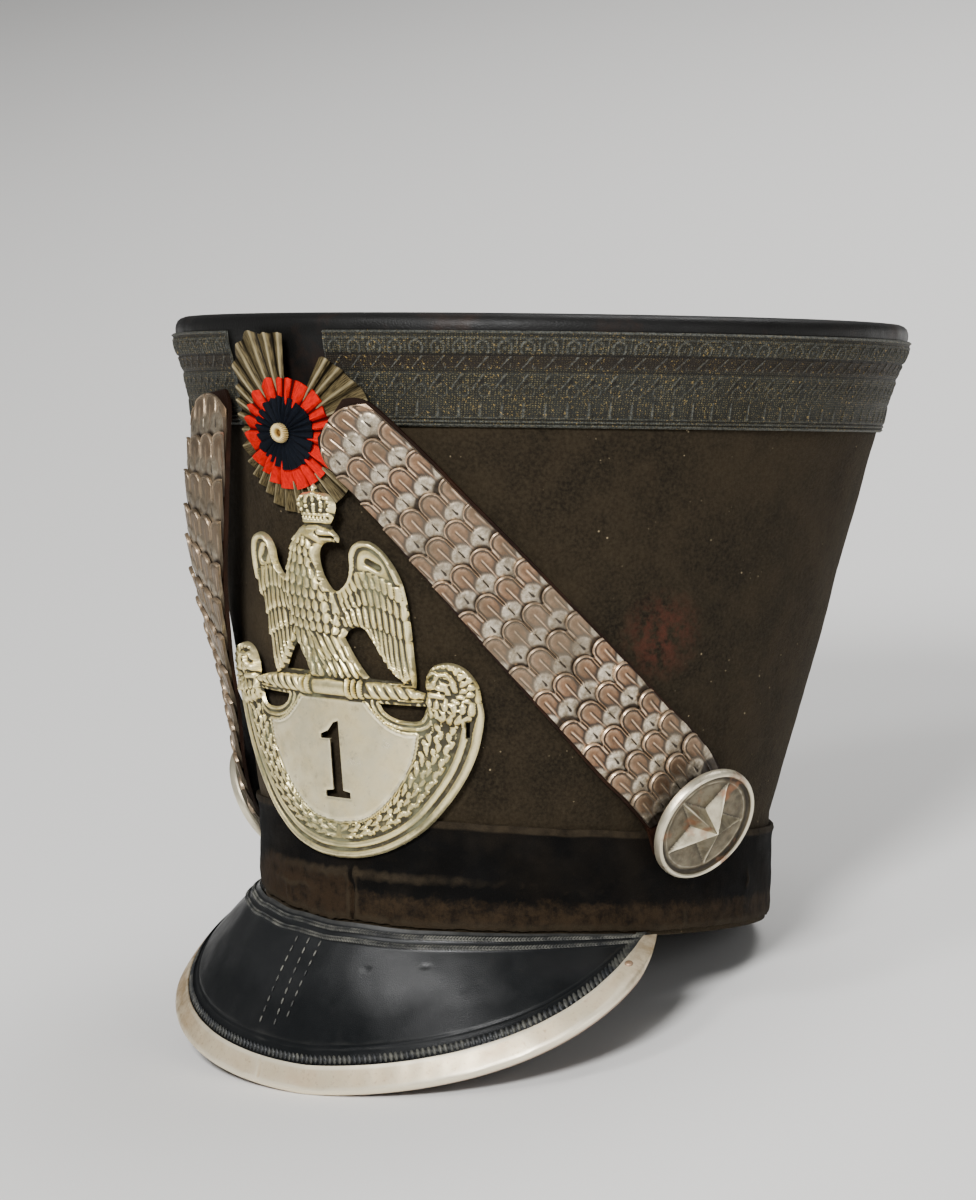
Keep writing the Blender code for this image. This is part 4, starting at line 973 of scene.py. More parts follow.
plateOutline = (
    [(-5.4, 138.6), (-6.0, 141.6), (-4.2, 144.2), (-1.4, 144.9), (-0.6, 146.6), (0.5, 147.6), (1.6, 146.6),
     (2.4, 144.9), (6.0, 144.4), (8.4, 141.4), (7.6, 137.8), (5.8, 134.6)],
    [(5.8, 134.6), (8.4, 132.5), (9.8, 130.6), (9.3, 129.0)],
    [(9.3, 129.0), (6.2, 129.0), (3.2, 127.9), (1.4, 124.5), (1.9, 118.5), (4.6, 113.6), (7.2, 113.4),
     (10.8, 116.4), (12.7, 121.0), (13.2, 126.4), (16.2, 129.8), (21.4, 129.7), (26.0, 125.2),
     (29.4, 117.4), (30.5, 107.0), (30.9, 95.0), (31.1, 86.5), (30.6, 82.8)],
    [(30.6, 82.8), (34.0, 81.8)], lionSide, shieldSide, mirrored(shieldSide), mirrored(lionSide),
    [(-34.0, 81.8), (-29.0, 83.2), (-24.0, 84.0)],
    [(-24.0, 84.0), (-24.6, 93.0), (-26.4, 102.7), (-28.3, 113.0), (-28.9, 122.0), (-27.6, 128.0),
     (-24.0, 130.2), (-20.0, 129.4), (-17.6, 125.8), (-17.2, 121.0), (-15.4, 117.3), (-13.0, 115.8)],
    [(-13.0, 115.8), (-11.8, 120.0), (-9.4, 125.8), (-6.4, 130.6), (-4.0, 134.2)],
    [(-4.0, 134.2), (-5.4, 138.6)])
halfMoon = ([(18.4, 77.4), (19.8, 74.9), (23.0, 73.0), (27.0, 72.3), (31.4, 73.0), (33.6, 77.6)],
            [(33.6, 77.6), (18.4, 77.4)])
plateHoles = (
    ([(-18.8, 85.6), (-16.6, 89.6), (-14.0, 93.8), (-11.9, 97.0)],
     [(-11.9, 97.0), (-9.8, 93.4), (-7.9, 89.2), (-7.0, 85.9)], [(-7.0, 85.9), (-18.8, 85.6)]),
    ([(7.4, 98.0), (9.6, 100.8), (13.0, 101.8), (15.4, 101.0)],
     [(15.4, 101.0), (18.0, 97.0), (22.8, 88.6), (27.0, 84.8)],
     [(27.0, 84.8), (15.8, 85.2)], [(15.8, 85.2), (12.8, 89.0), (10.2, 93.0), (7.4, 98.0)]),
    halfMoon, tuple(mirrored(run) for run in reversed(halfMoon)),
    ([(44.3, 73.2), (45.4, 73.3)], [(45.4, 73.3), (45.0, 68.3)], [(45.0, 68.3), (43.9, 68.2)],
     [(43.9, 68.2), (44.3, 73.2)]))
numeralOne = [(2.2, 70.3), (0.2, 69.6), (-2.2, 66.8), (-5.4, 65.4), (-5.3, 64.0), (-1.6, 64.2), (-1.5, 47.4),
              (-4.7, 46.9), (-4.7, 44.9), (5.2, 44.9), (5.2, 46.9), (2.5, 47.4)]

frontPlate = {"lean": 0.052, "out": 1.2, "outTop": 4.9, "easeFrom": 100.0, "easeOver": 42.0, "sheet": 1.0,
              "thickness": 0.9, "featherRise": 1.45, "crownShift": 1.3, "crownFrom": 132.5, "crownOver": 3.0,
              "edgeSpacing": 0.5, "spacing": 0.46, "rolledEdge": 0.7, "fieldTop": 77.9,
              "x": (-50, 50), "z": (24.5, 148.5)}

# large forms: from x, z to x, z, radius, height
plateForms = (
    (-2.5, 130.6, 3.4, 131.6, 3.6, 2.6), (-3.4, 126.0, -4.0, 118.0, 7.0, 2.9),
    (-4.2, 115.0, -3.2, 105.0, 10.5, 3.2), (-2.6, 102.0, 0.0, 97.0, 9.0, 2.4),
    (1.6, 96.0, 8.4, 86.0, 7.0, 1.6), (-8.4, 99.0, -4.2, 87.0, 4.4, 2.2),
    (8.5, 112.5, 17.8, 125.4, 5.0, 1.2), (18.5, 126.0, 27.6, 114.0, 4.6, 1.0),
    (20.0, 113.0, 27.8, 92.0, 8.0, 0.8), (12.0, 106.0, 18.0, 104.0, 5.0, 0.8),
    (-14.0, 110.0, -21.0, 126.0, 5.0, 1.2), (-24.4, 127.0, -26.0, 112.0, 4.0, 1.0),
    (-21.4, 110.0, -20.8, 91.0, 6.0, 0.8), (-31.0, 81.4, 31.0, 81.4, 2.9, 2.3),
    (-1.4, 137.0, 3.6, 137.2, 3.6, 1.2), (-2.4, 141.0, 4.6, 141.2, 4.0, 1.6),
    (40.6, 86.0, 41.0, 80.0, 8.0, 2.4), (-40.6, 86.0, -41.0, 80.0, 8.0, 2.4))

# feathers in fans: roots along one line, tips along another, how many, width, height
plateFans = (
    ([(8, 114), (12.5, 119.0), (19, 119.8), (27.4, 116)],
     [(8.6, 109.4), (14.4, 113.8), (20.6, 114.6), (28, 111)], 11, 2.7, 0.8),
    ([(5.4, 111), (12, 114), (20, 115), (28.6, 111.6)],
     [(7, 105.6), (14, 108.6), (21, 108.6), (29, 105)], 12, 2.5, 0.9),
    ([(4.4, 107), (11, 109), (20, 109.4), (29, 105.8)],
     [(6.4, 101.4), (13, 101.8), (20.6, 101.6), (29.6, 98)], 12, 2.3, 1.0),
    ([(14, 104), (20, 103), (29, 100)],
     [(16.2, 99.4), (18.6, 95.8), (22.4, 90.2), (26, 85.6), (30.4, 84)], 10, 2.3, 1.1),
    ([(18, 100), (22, 99), (29.4, 95)], [(20.4, 93.4), (24.2, 88.2), (27.6, 84.4), (30.8, 88)], 7, 2.2, 1.2),
    ([(-13, 114.6), (-17.5, 118.6), (-22, 119.4), (-26.4, 118)],
     [(-12.6, 110), (-17, 112.4), (-22, 112.6), (-27.4, 109)], 8, 2.7, 0.8),
    ([(-12.6, 111), (-17, 113), (-22, 113), (-27.4, 110.4)],
     [(-11.6, 105.6), (-16.6, 106), (-22, 105), (-27.2, 102)], 8, 2.6, 0.9),
    ([(-12.6, 106.6), (-17, 106.8), (-22, 105.6), (-27, 103)],
     [(-12.2, 101), (-16.8, 99.4), (-21.6, 97.6), (-26, 95)], 8, 2.5, 1.0),
    ([(-13, 102), (-18.6, 101), (-26.4, 99)],
     [(-12.8, 97.4), (-15.4, 92.6), (-18, 88), (-20.6, 84.6), (-24.4, 84.6)], 8, 2.3, 1.1),
    # neck and breast
    ([(-5.4, 132), (-1.4, 129.6)], [(-6.6, 128.6), (-0.4, 126.4)], 4, 2.0, 0.7),
    ([(-7.2, 129.2), (0.0, 127)], [(-8.6, 125.6), (0.4, 123.4)], 5, 2.2, 0.8),
    ([(-8.6, 126), (0.4, 124)], [(-10, 122), (1.0, 120)], 5, 2.4, 0.8),
    ([(-9.8, 122.8), (0.8, 120.8)], [(-11.2, 118.6), (1.8, 116.4)], 6, 2.5, 0.9),
    ([(-10.8, 119.4), (1.8, 117.4)], [(-12.0, 115.0), (3.4, 112.6)], 6, 2.7, 0.9),
    ([(-11.6, 116), (3.6, 113.8)], [(-12.4, 111.2), (4.6, 109.2)], 7, 2.9, 0.9),
    ([(-11.6, 112.2), (4.6, 110.4)], [(-12.0, 107.4), (5.2, 105.4)], 7, 3.0, 0.9),
    ([(-11.4, 108.4), (5.0, 106.6)], [(-11.4, 103.8), (5.4, 102.0)], 7, 3.0, 0.9),
    ([(-10.8, 104.8), (5.0, 103.0)], [(-10.0, 100.2), (5.0, 98.6)], 7, 2.8, 0.9),
    # thigh and tail
    ([(-10.6, 100.4), (-5.4, 100.4)], [(-9.6, 94.6), (-3.8, 93.8)], 3, 2.6, 0.8),
    ([(-9.6, 96), (-4.2, 95.6)], [(-8.2, 89.6), (-2.6, 89.0)], 3, 2.4, 0.8),
    ([(-8.4, 91), (-2.8, 90.4)], [(-7.4, 85.0), (-1.6, 84.6)], 3, 2.2, 0.8),
    ([(-4.6, 100), (6.4, 98.6)], [(0.4, 90.2), (10.6, 90.4)], 5, 2.6, 0.8),
    ([(-3.0, 95), (9.0, 94)], [(1.6, 84.8), (14.8, 85.0)], 6, 2.4, 0.9))

# round bars and beads: points, first and last radius, height; dents have a height below 0
plateBars = (
    ([(7.0, 113.6), (10.4, 116.0), (12.9, 120.4), (13.8, 125.2), (15.8, 128.4), (19.4, 129.4), (23.0, 127.9),
      (26.0, 124.0), (28.4, 117.6)], 1.3, 1.1, 1.7),
    ([(-13.4, 116.2), (-16.6, 118.8), (-18.0, 123.4), (-19.0, 127.2), (-21.8, 129.0), (-25.2, 127.9),
      (-27.4, 123.0), (-27.9, 115.0)], 1.3, 1.1, 1.7),
    ([(-0.6, 133.4), (2.6, 133.6), (5.2, 133.0)], 0.9, 0.7, 1.0),
    ([(4.4, 132.2), (7.2, 132.0), (8.9, 131.0), (9.2, 129.7)], 1.5, 0.5, 1.9),
    ([(4.6, 129.9), (7.4, 129.7)], 0.9, 0.5, 1.1), ([(0.6, 131.2), (0.61, 131.2)], 0.55, 0.55, 1.0),
    ([(-3.4, 135.3), (5.2, 135.5)], 0.8, 0.8, 1.3), ([(-4.0, 137.5), (6.0, 137.7)], 0.6, 0.6, 1.0),
    ([(0.5, 145.0), (0.5, 147.2)], 0.5, 0.5, 1.3), ([(-0.5, 146.3), (1.5, 146.3)], 0.5, 0.5, 1.3),
    ([(0.5, 144.4), (0.51, 144.4)], 1.0, 1.0, 1.6),
    ([(-9.4, 84.0), (-9.4, 78.9)], 0.8, 0.8, 2.7), ([(-7.2, 84.2), (-7.2, 78.7)], 0.6, 0.6, 2.6),
    ([(8.6, 84.2), (8.6, 78.7)], 0.8, 0.8, 2.7), ([(10.8, 84.1), (10.8, 78.8)], 0.6, 0.6, 2.6),
    ([(13.0, 84.0), (13.0, 78.9)], 0.7, 0.7, 2.6))
plateDents = (
    ([(19.0, 123.4), (22.2, 121.8)], 1.5, 1.9), ([(-21.8, 124.4), (-23.8, 121.6)], 1.6, 1.7),
    ([(3.2, 130.9), (8.6, 130.5)], 0.45, 1.2), ([(2.6, 131.5), (2.61, 131.5)], 0.9, 1.0),
    ([(-0.4, 121.0), (2.2, 116.2)], 1.3, 0.9), ([(3.9, 112.4), (4.9, 104.0)], 0.8, 0.9))
lionMask = {"centre": (39.0, 85.2), "faceRadii": (4.4, 3.7), "faceRise": 1.7, "from": 33.0, "narrow": 0.9,
            "curlRings": ((5.6, 7.6, 13), (7.4, 9.6, 16)), "curlFrom": -125.0, "curlTo": 115.0,
            "curlBend": 0.28, "curlWidth": 1.9, "curlRise": 1.3}
lionBars = (([(34.9, 87.4), (36.6, 88.9), (38.2, 88.2)], 0.75, 0.7, 1.7),
            ([(38.4, 88.2), (40.4, 88.7), (42.0, 87.0)], 0.75, 0.7, 1.7),
            ([(35.6, 84.3), (35.61, 84.3)], 1.6, 1.6, 2.3), ([(38.2, 83.8), (38.21, 83.8)], 1.7, 1.7, 2.1),
            ([(37.6, 87.6), (36.6, 85.2)], 0.7, 1.0, 2.6), ([(35.4, 81.6), (38.6, 81.3)], 1.1, 1.1, 1.6),
            ([(42.2, 86.0), (42.4, 83.6)], 0.9, 0.9, 1.4))
lionDents = (([(36.0, 86.7), (36.7, 86.8)], 0.75, 1.1), ([(39.4, 86.6), (40.6, 86.2)], 0.8, 1.1),
             ([(34.8, 82.9), (36.8, 83.3), (39.4, 82.6)], 0.4, 0.9),
             ([(40.9, 84.9), (41.6, 82.6)], 0.5, 0.8))
lionBeard = (([(35.0, 81.0), (38.0, 81.0), (42.0, 80.6), (46.6, 79.8)],
              [(34.6, 77.6), (37.6, 76.8), (42.0, 76.2), (46.0, 75.4)], 6, 2.3, 1.2),
             ([(34.6, 78.0), (39, 77.4), (45.8, 76)],
              [(34.8, 74.0), (38.6, 73.2), (43.4, 71.6)], 6, 2.2, 1.2))
wreath = {"steps": 27, "length": 3.7, "width": 2.0, "rise": 1.35, "spread": -34.0, "sideways": (5.6, 3.0),
          "berry": 0.65, "berryRise": 1.4, "ground": 0.3, "edgeClear": 6.0, "fieldClear": 0.8}
shieldEdge = ((0.0, 0.25), (0.55, 1.15), (1.2, 1.35), (1.9, 1.1), (2.5, 0.25), (3.2, 0.15), (3.7, 0.75),
              (4.4, 1.0), (5.1, 0.75), (5.6, 0.1), (6.4, 0.0))
moonRings = ((0.7, 0.75, 1.1), (2.6, 0.8, 0.9))  # distance from the half moon, half width, height
baton = {"level": 81.4, "radii": ((0, 20, 33), (2.9, 2.9, 1.7)), "end": 33.0, "sleeve": (-6.4, 7.8),
         "rise": 2.4, "ropeRise": 2.1, "twist": 0.42, "pitch": 3.3, "slant": 0.55}
crown = {"beads": 7, "archRadius": 0.72, "archRise": 1.5, "bandRadius": 0.6, "bandRise": 1.4,
         "bandStart": -3.2, "bandStep": 1.36, "bandLevel": 136.5}


def dome(ratio):
    return np.sqrt(np.clip(1.0 - ratio ** 2, 0.0, 1.0))


def ridgeAt(away, level, width):
    return np.clip(1.0 - np.abs(away - level) / width, 0, 1)


def sharpLoop(runs, spacing):  # curves that meet in corners, as one closed loop
    return np.array([(p.x, p.y) for run in runs for p in flatSmooth(run, spacing)[:-1]])


def flatRun(points, spacing=1.0):
    return [(p.x, p.y) for p in flatSmooth(points, spacing)]


def insideLoop(x, z, loop):
    inside = np.zeros(len(x), bool)
    for (x0, z0), (x1, z1) in zip(loop, np.roll(loop, -1, axis=0)):
        if z0 != z1:
            crosses = (z0 > z) != (z1 > z)
            inside ^= crosses & (x < x0 + (z - z0) * (x1 - x0) / (z1 - z0))
    return inside


def onSheet(x, z, loops):  # inside the outline, and in none of the holes
    keep = insideLoop(x, z, loops[0])
    for loop in loops[1:]:
        keep &= ~insideLoop(x, z, loop)
    return keep


def awayFrom(x, z, run):  # distance to a run of points, and the share along it
    best, share = np.full(len(x), 1e9), np.zeros(len(x))
    for i, ((x0, z0), (x1, z1)) in enumerate(zip(run, run[1:])):
        dx, dz = x1 - x0, z1 - z0
        t = np.clip(((x - x0) * dx + (z - z0) * dz) / max(dx * dx + dz * dz, 1e-9), 0.0, 1.0)
        gap = np.hypot(x - x0 - t * dx, z - z0 - t * dz)
        closer = gap < best
        best = np.where(closer, gap, best)
        share = np.where(closer, (i + t) / (len(run) - 1), share)
    return best, share


def awayFromLoop(x, z, loop):
    return awayFrom(x, z, [*map(tuple, loop), tuple(loop[0])])[0]


def addBar(height, x, z, points, first, last, rise, base):
    run = flatRun(points) if len(points) > 2 else points
    away, share = awayFrom(x, z, run)
    radius = first + (last - first) * share
    form = base + rise * dome(away / radius)
    return np.where((away < radius) & (form > height), form, height)


def addBead(height, x, z, spot, radius, rise, base):
    return addBar(height, x, z, [spot, (spot[0] + 0.01, spot[1])], radius, radius, rise, base)


def addDents(height, x, z, dents):
    for points, radius, depth in dents:
        away, _ = awayFrom(x, z, points)
        height = height - depth * np.clip(1.0 - (away / radius) ** 2, 0.0, 1.0)
    return height


def addFeather(height, x, z, root, tip, width, rise, base):  # a leaf shape, highest just before its tip
    dx, dz = tip[0] - root[0], tip[1] - root[1]
    long = math.hypot(dx, dz)
    dx, dz = dx / long, dz / long
    along = ((x - root[0]) * dx + (z - root[1]) * dz) / long
    across = np.abs((x - root[0]) * dz - (z - root[1]) * dx)
    tail = np.clip((along - 0.55) / 0.45, 0.0, 1.0)
    half = width / 2 * dome(tail) * (0.8 + 0.2 * np.clip(along / 0.5, 0.0, 1.0))
    inside = (along > 0.0) & (along < 1.0) & (across < half)
    shaft = 0.22 * rise * np.clip(1.0 - across / 0.3, 0.0, 1.0)
    form = base + rise * (0.25 + 0.75 * along) * (0.2 + 0.8 * dome(across / np.maximum(half, 1e-6))) + shaft
    return np.where(inside & (form > height), form, height)


def addFan(height, x, z, fan, base):
    roots, tips, count, width, rise = fan
    roots, tips = ([Vector((*p, 0.0)) for p in flatRun(line)] for line in (roots, tips))
    for i in list(range(0, count, 2)) + list(range(1, count, 2)):
        root, tip = (alongRun(line, i / (count - 1)) for line in (roots, tips))
        height = addFeather(height, x, z, root, tip, width, rise * frontPlate["featherRise"], base)
    return height


def bothSides(side):
    return side + mirrored(side[:-1])


fieldLine = bothSides(flatRun(fieldSide) + flatRun(fieldFlank)[1:])
edgeLine = bothSides(flatRun(shieldSide))


def onField(x, z):  # the plain field round the numeral
    return insideLoop(x, z, np.array(fieldLine)) & (z < frontPlate["fieldTop"])


def plateBase(x, z):
    base = np.zeros(len(x))
    for x0, z0, x1, z1, radius, rise in plateForms:
        away, _ = awayFrom(x, z, [(x0, z0), (x1, z1)])
        base = np.maximum(base, rise * dome(away / radius))
    return base


def garland(mirror, z, base):  # leaves and berries on the shield, the same on both sides
    line = [Vector((*p, 0.0)) for p in flatRun(wreathLine)]
    leaf = np.maximum(base, wreath["ground"])
    for i in range(wreath["steps"]):
        share = 1.0 - (i + 0.5) / wreath["steps"]
        spot = alongRun(line, share)
        ahead = (alongRun(line, share - 0.02) - alongRun(line, share + 0.02)).normalized()
        reach = mix(*wreath["sideways"], share)
        for k in range(-2, 3):
            turned = Matrix.Rotation(math.radians(wreath["spread"] * (k / 2 + 0.35 * (-1) ** (i + k))), 2)
            turned = turned @ Vector((ahead.x, ahead.y))
            root = (spot.x + k / 2 * reach * ahead.y, spot.y - k / 2 * reach * ahead.x)
            tip = (root[0] + turned.x * wreath["length"], root[1] + turned.y * wreath["length"])
            leaf = addFeather(leaf, mirror, z, root, tip, wreath["width"], wreath["rise"], base)
            if (i + k) % 3 == 0:
                berry = (tip[0] + ahead.y * 0.6, tip[1])
                leaf = addBead(leaf, mirror, z, berry, wreath["berry"], wreath["berryRise"], base)
    return leaf


def addShield(height, x, z, base, awayEdge):  # garland, double rim, half moons and field
    mirror, inField = np.abs(x), onField(x, z)
    awayField, _ = awayFrom(x, z, fieldLine)
    awayMoon, _ = awayFrom(mirror, z, flatRun(halfMoon[0]))
    onShield = (z < 79.0) & ~inField
    clear = onShield & (awayEdge > wreath["edgeClear"]) & (awayField > wreath["fieldClear"])
    height = np.where(clear, np.maximum(height, garland(mirror, z, base)), height)
    rim = np.interp(awayEdge, *zip(*shieldEdge))
    height = np.where((z < 79.5) & (awayEdge < shieldEdge[-1][0]), rim, height)
    rings = np.maximum(*(rise * ridgeAt(awayMoon, level, width) for level, width, rise in moonRings))
    nearMoon = onShield & (awayMoon < 4.6) & (z < 78.5) & (mirror < 34.5)
    height = np.where(nearMoon, np.maximum(rings, 0.12), height)
    height = np.where(onShield & (awayField < 1.0), 0.75 * ridgeAt(awayField, 0.5, 0.5), height)
    return np.where(inField, 0.25 * np.clip(awayField / 1.2, 0, 1), height)


def addBaton(height, x, z):  # a twisted rope with a plain sleeve
    above = z - baton["level"]
    bulge = dome(above / np.interp(np.abs(x), *baton["radii"]))
    twist = np.cos((x + above * baton["slant"]) * math.tau / baton["pitch"])
    low, high = baton["sleeve"]
    rope = np.where((x > low) & (x < high), baton["rise"], baton["ropeRise"] + baton["twist"] * twist)
    return np.where((bulge > 0.0) & (np.abs(x) < baton["end"]), rope * bulge, height)


def lionHeight(mirror, z, base):
    mask = lionMask
    (cx, cz), (width, tall) = mask["centre"], mask["faceRadii"]
    face = mask["faceRise"] * dome(np.hypot((mirror - cx) / width, (z - cz) / tall))
    mane = base.copy()
    for inner, outer, count in mask["curlRings"]:
        for i in range(count):
            angle = math.radians(mix(mask["curlFrom"], mask["curlTo"], i / (count - 1)))
            root, tip = ((cx + r * math.cos(a) * mask["narrow"], cz + r * math.sin(a))
                         for r, a in ((inner, angle), (outer, angle + mask["curlBend"])))
            mane = addFeather(mane, mirror, z, root, tip, mask["curlWidth"], mask["curlRise"], base)
    for fan in lionBeard:
        mane = addFan(mane, mirror, z, fan, base)
    mane = np.where(face > 0.1, base, mane)
    for bar in lionBars:
        mane = addBar(mane, mirror, z, *bar, base)
    mane = np.maximum(mane, np.where(face > 0, base + face * 0.7, 0.0))
    return addDents(mane, mirror, z, lionDents)


def addLions(height, x, z, base, awayEdge):
    mirror = np.abs(x)
    onMask = (mirror > lionMask["from"]) & ((z > 71.0) & (awayEdge > 1.6) | (z > 79.5))
    return np.where(onMask, np.maximum(lionHeight(mirror, z, base), height * (z < 79.5)), height)


def addCrown(height, x, z, base):  # beaded arches over a jewelled band
    last = crown["beads"] - 1
    for k in (-2, -1, 0, 1, 2):
        arch = flatRun([(0.9 + 1.9 * k, 137.6), (0.9 + 3.0 * k, 140.6), (0.7 + 2.3 * k, 143.2),
                        (0.5 + 0.5 * k, 144.3)], 0.5)
        for j in range(crown["beads"]):
            spot = arch[round((len(arch) - 1) * j / last)]
            height = addBead(height, x, z, spot, crown["archRadius"], crown["archRise"], base * 0.6)
    for j in range(crown["beads"]):
        spot = (crown["bandStart"] + crown["bandStep"] * j, crown["bandLevel"])
        height = addBead(height, x, z, spot, crown["bandRadius"], crown["bandRise"], base)
    return height


def plateHeights(x, z):
    base = plateBase(x, z)
    awayEdge, _ = awayFrom(x, z, edgeLine)
    height = base.copy()
    for fan in plateFans:
        height = addFan(height, x, z, fan, base)
    height = addShield(height, x, z, base, awayEdge)
    height = addBaton(height, x, z)
    height = addLions(height, x, z, base, awayEdge)
    height = addCrown(height, x, z, base)
    for bar in plateBars:
        height = addBar(height, x, z, *bar, base * 0.8)
    return addDents(height, x, z, plateDents)


def plateLoops(spacing):  # the outline, and after it the holes
    loops = [sharpLoop(runs, spacing) for runs in (plateOutline, *plateHoles)]
    corners = [(*a, 0.0) for a in numeralOne]
    numeral = []
    for a, b in zip(corners, corners[1:] + corners[:1]):
        for t in np.arange(0, 1, 1 / max(1, round(math.dist(a, b) / spacing))):
            numeral.append((a[0] + (b[0] - a[0]) * t, a[1] + (b[1] - a[1]) * t))
    return loops + [np.array(numeral)]


def platePoints(loops, step):  # points in rows inside the sheet, clear of its edges
    xs, zs = np.meshgrid(np.arange(*frontPlate["x"], step), np.arange(*frontPlate["z"], step * 0.87))
    xs[1::2] += step / 2
    x, z = xs.ravel(), zs.ravel()
    keep = onSheet(x, z, loops)
    x, z = x[keep], z[keep]
    for loop in loops:
        keep = awayFromLoop(x, z, loop) > step * 0.55
        x, z = x[keep], z[keep]
    return zip(x, z)


def plateSheet(loops):  # the sheet in triangles, still flat
    points = [Vector(p) for loop in loops for p in loop]
    points += [Vector(p) for p in platePoints(loops, frontPlate["spacing"])]
    edges, first = [], 0
    for loop in loops:
        edges += [(first + i, first + (i + 1) % len(loop)) for i in range(len(loop))]
        first += len(loop)
    flat, _, faces, _, _, _ = delaunay_2d_cdt(points, edges, [], 0, 1e-4)
    flat = np.array([(p.x, p.y) for p in flat])
    middle = flat[np.array([tuple(face) for face in faces])].mean(axis=1)
    keep = onSheet(middle[:, 0], middle[:, 1], loops)
    return flat, [tuple(face) for face, kept in zip(faces, keep) if kept]


def makeFrontPlate():
    plate = frontPlate
    loops = plateLoops(plate["edgeSpacing"])
    flat, faces = plateSheet(loops)
    x, z = flat.T
    border = np.minimum.reduce([awayFromLoop(x, z, loop) for loop in loops])
    height = plateHeights(x, z) * np.clip(border / plate["rolledEdge"], 0.0, 1.0) ** 0.5
    spots = []
    for a, b, h in zip(x, z, height):
        out = mix(plate["out"], plate["outTop"], ease((b - plate["easeFrom"]) / plate["easeOver"]))
        shift = plate["crownShift"] * ease((b - plate["crownFrom"]) / plate["crownOver"])
        spots.append(frontPoint(a + shift, b - plate["lean"] * a, out + plate["sheet"] + h))
    mesh = bpy.data.meshes.new("front_plate_relief")
    mesh.from_pydata(spots, [], faces)
    piece = bpy.data.objects.new("front_plate_relief", mesh)
    link(piece)
    corners = np.empty(len(mesh.loops), int)
    mesh.loops.foreach_get("vertex_index", corners)
    mesh.uv_layers.new(name="UVMap").data.foreach_set("uv", (flat[corners] / 100.0).ravel())
    markHollows(piece, 0.2, 6)
    addPointValue(piece, "field", onField(x, z))
    thicken(piece, plate["thickness"])
    return finishPiece(piece, plateMetal, "front_plate", smoothAngle=60.0)


makeFrontPlate()
print("front plate made")


# scales: rows of copper tongues, and between them silver ones with a short slit, like roof tiles
scale = {"start": 11.5, "endLength": 20.0, "overlap": 5.6, "thickness": 0.8, "gap": 0.5, "lobePitch": 8.5,
         "lobeHalf": 4.12, "columns": 72, "rows": 38, "halfWidth": 16.6, "silverBack": 7.2,
         "silverRadius": 4.3, "silverRise": 0.45, "slit": (1.5, 4.9), "endRound": 0.8, "edgeDrop": 0.9,
         "shift": (0.5, 1.2), "turn": 0.8, "turns": (0, 1, -1, 5, -2, 1, 0, 1, -1, 2, -1, 1, 0)}
# toneAndShade: the right side's plates vary at random in tone; the left side's higher values add painted
# shade to its plates
scaleSides = {"right": {"count": 13, "toneAndShade": (0.0, 1.0), "seed": 7},
              "left": {"count": 12, "toneAndShade": (1.5, 2.0), "seed": 8}}


def tongueReach(a, tip):  # front edge of the copper row
    pitch, half = scale["lobePitch"], scale["lobeHalf"]
    beside = abs(a - pitch * (math.floor(a / pitch) + 0.5))
    return tip - half + math.sqrt(max(half ** 2 - beside ** 2, 0.0)), beside


def copperRise(s, tip, beside):  # a rounded rim round each tongue, and a short rib down its middle
    half = scale["lobeHalf"]
    inside = half - (math.hypot(beside, s - tip + half) if s > tip - half else beside)
    rise = 0.3 * (1.0 - (beside / half) ** 2)
    rise += 0.42 * near(inside - 0.34, 0.42) - 0.26 * near(inside - 0.95, 0.4)
    if s < tip - 3.4:
        rise += (0.2 * near(beside, 0.36) - 0.12 * near(beside - 0.6, 0.34)) * ease((tip - 3.4 - s) / 1.0)
    if inside < 0.12 and s < tip - half + 0.3:
        rise -= 0.4
    return rise


def silverRise(s, front, beside, away):
    slit = ease(1.0 - beside / 0.42) * ease((front - scale["slit"][0] - s) / 0.4)
    slit *= ease((s - front + scale["slit"][1]) / 0.4)
    edge = ease((scale["silverRadius"] - away) / 2.2)
    rise = scale["silverRise"] * ease((s - 3.5) / 4.5) + 0.25 * edge - 0.45 * slit
    return rise - 0.3 * near(beside - scale["lobePitch"] / 2, 0.4)


def scaleHeight(a, s, tip):  # height over the plate's own top, and 1 where it is silver
    reach, beside = tongueReach(a, tip)
    rise = copperRise(s, tip, beside)
    besideSilver = abs(a - scale["lobePitch"] * round(a / scale["lobePitch"]))
    front = tip - scale["silverBack"]
    away = math.hypot(besideSilver, max(s - front + scale["silverRadius"], 0.0))
    over = ease((scale["silverRadius"] - away) / 0.8)
    if over > 0.0:
        rise = mix(rise, silverRise(s, front, besideSilver, away), over)
    return rise * ease(min(reach - s + 0.25, 1.0) / 0.5), over


def wallsDown():  # from the open border down to a flat back
    bpy.ops.mesh.select_non_manifold()
    bpy.ops.mesh.extrude_region_move()
    bpy.ops.transform.resize(value=(1.0, 1.0, 0.0), center_override=(0.0, 0.0, 0.0), orient_type="GLOBAL")
    bpy.ops.mesh.edge_face_add()
    bpy.ops.mesh.quads_convert_to_tris()


def makeMasterScale(tip, pitch):
    def place(u, v):
        a = mix(-scale["halfWidth"], scale["halfWidth"], u)
        s = tongueReach(a, tip)[0] * v
        return Vector((a, s, scale["thickness"] + scaleHeight(a, s, tip)[0]))

    def shade(spot):  # painted shadow beside the tips of the plate that lies over this one
        return near(max(spot.y - tongueReach(spot.x, tip)[0] + pitch, 0.0), 1.5)

    master = gridPiece("scale_master", scale["columns"], scale["rows"], place)
    markHollows(master, 0.16, 6)
    spots = [vert.co for vert in master.data.vertices]
    addPointValue(master, "silver", [scaleHeight(spot.x, spot.y, tip)[1] for spot in spots])
    addPointValue(master, "shade", [shade(spot) for spot in spots])
    inEdit(master, wallsDown, select="DESELECT")
    return master


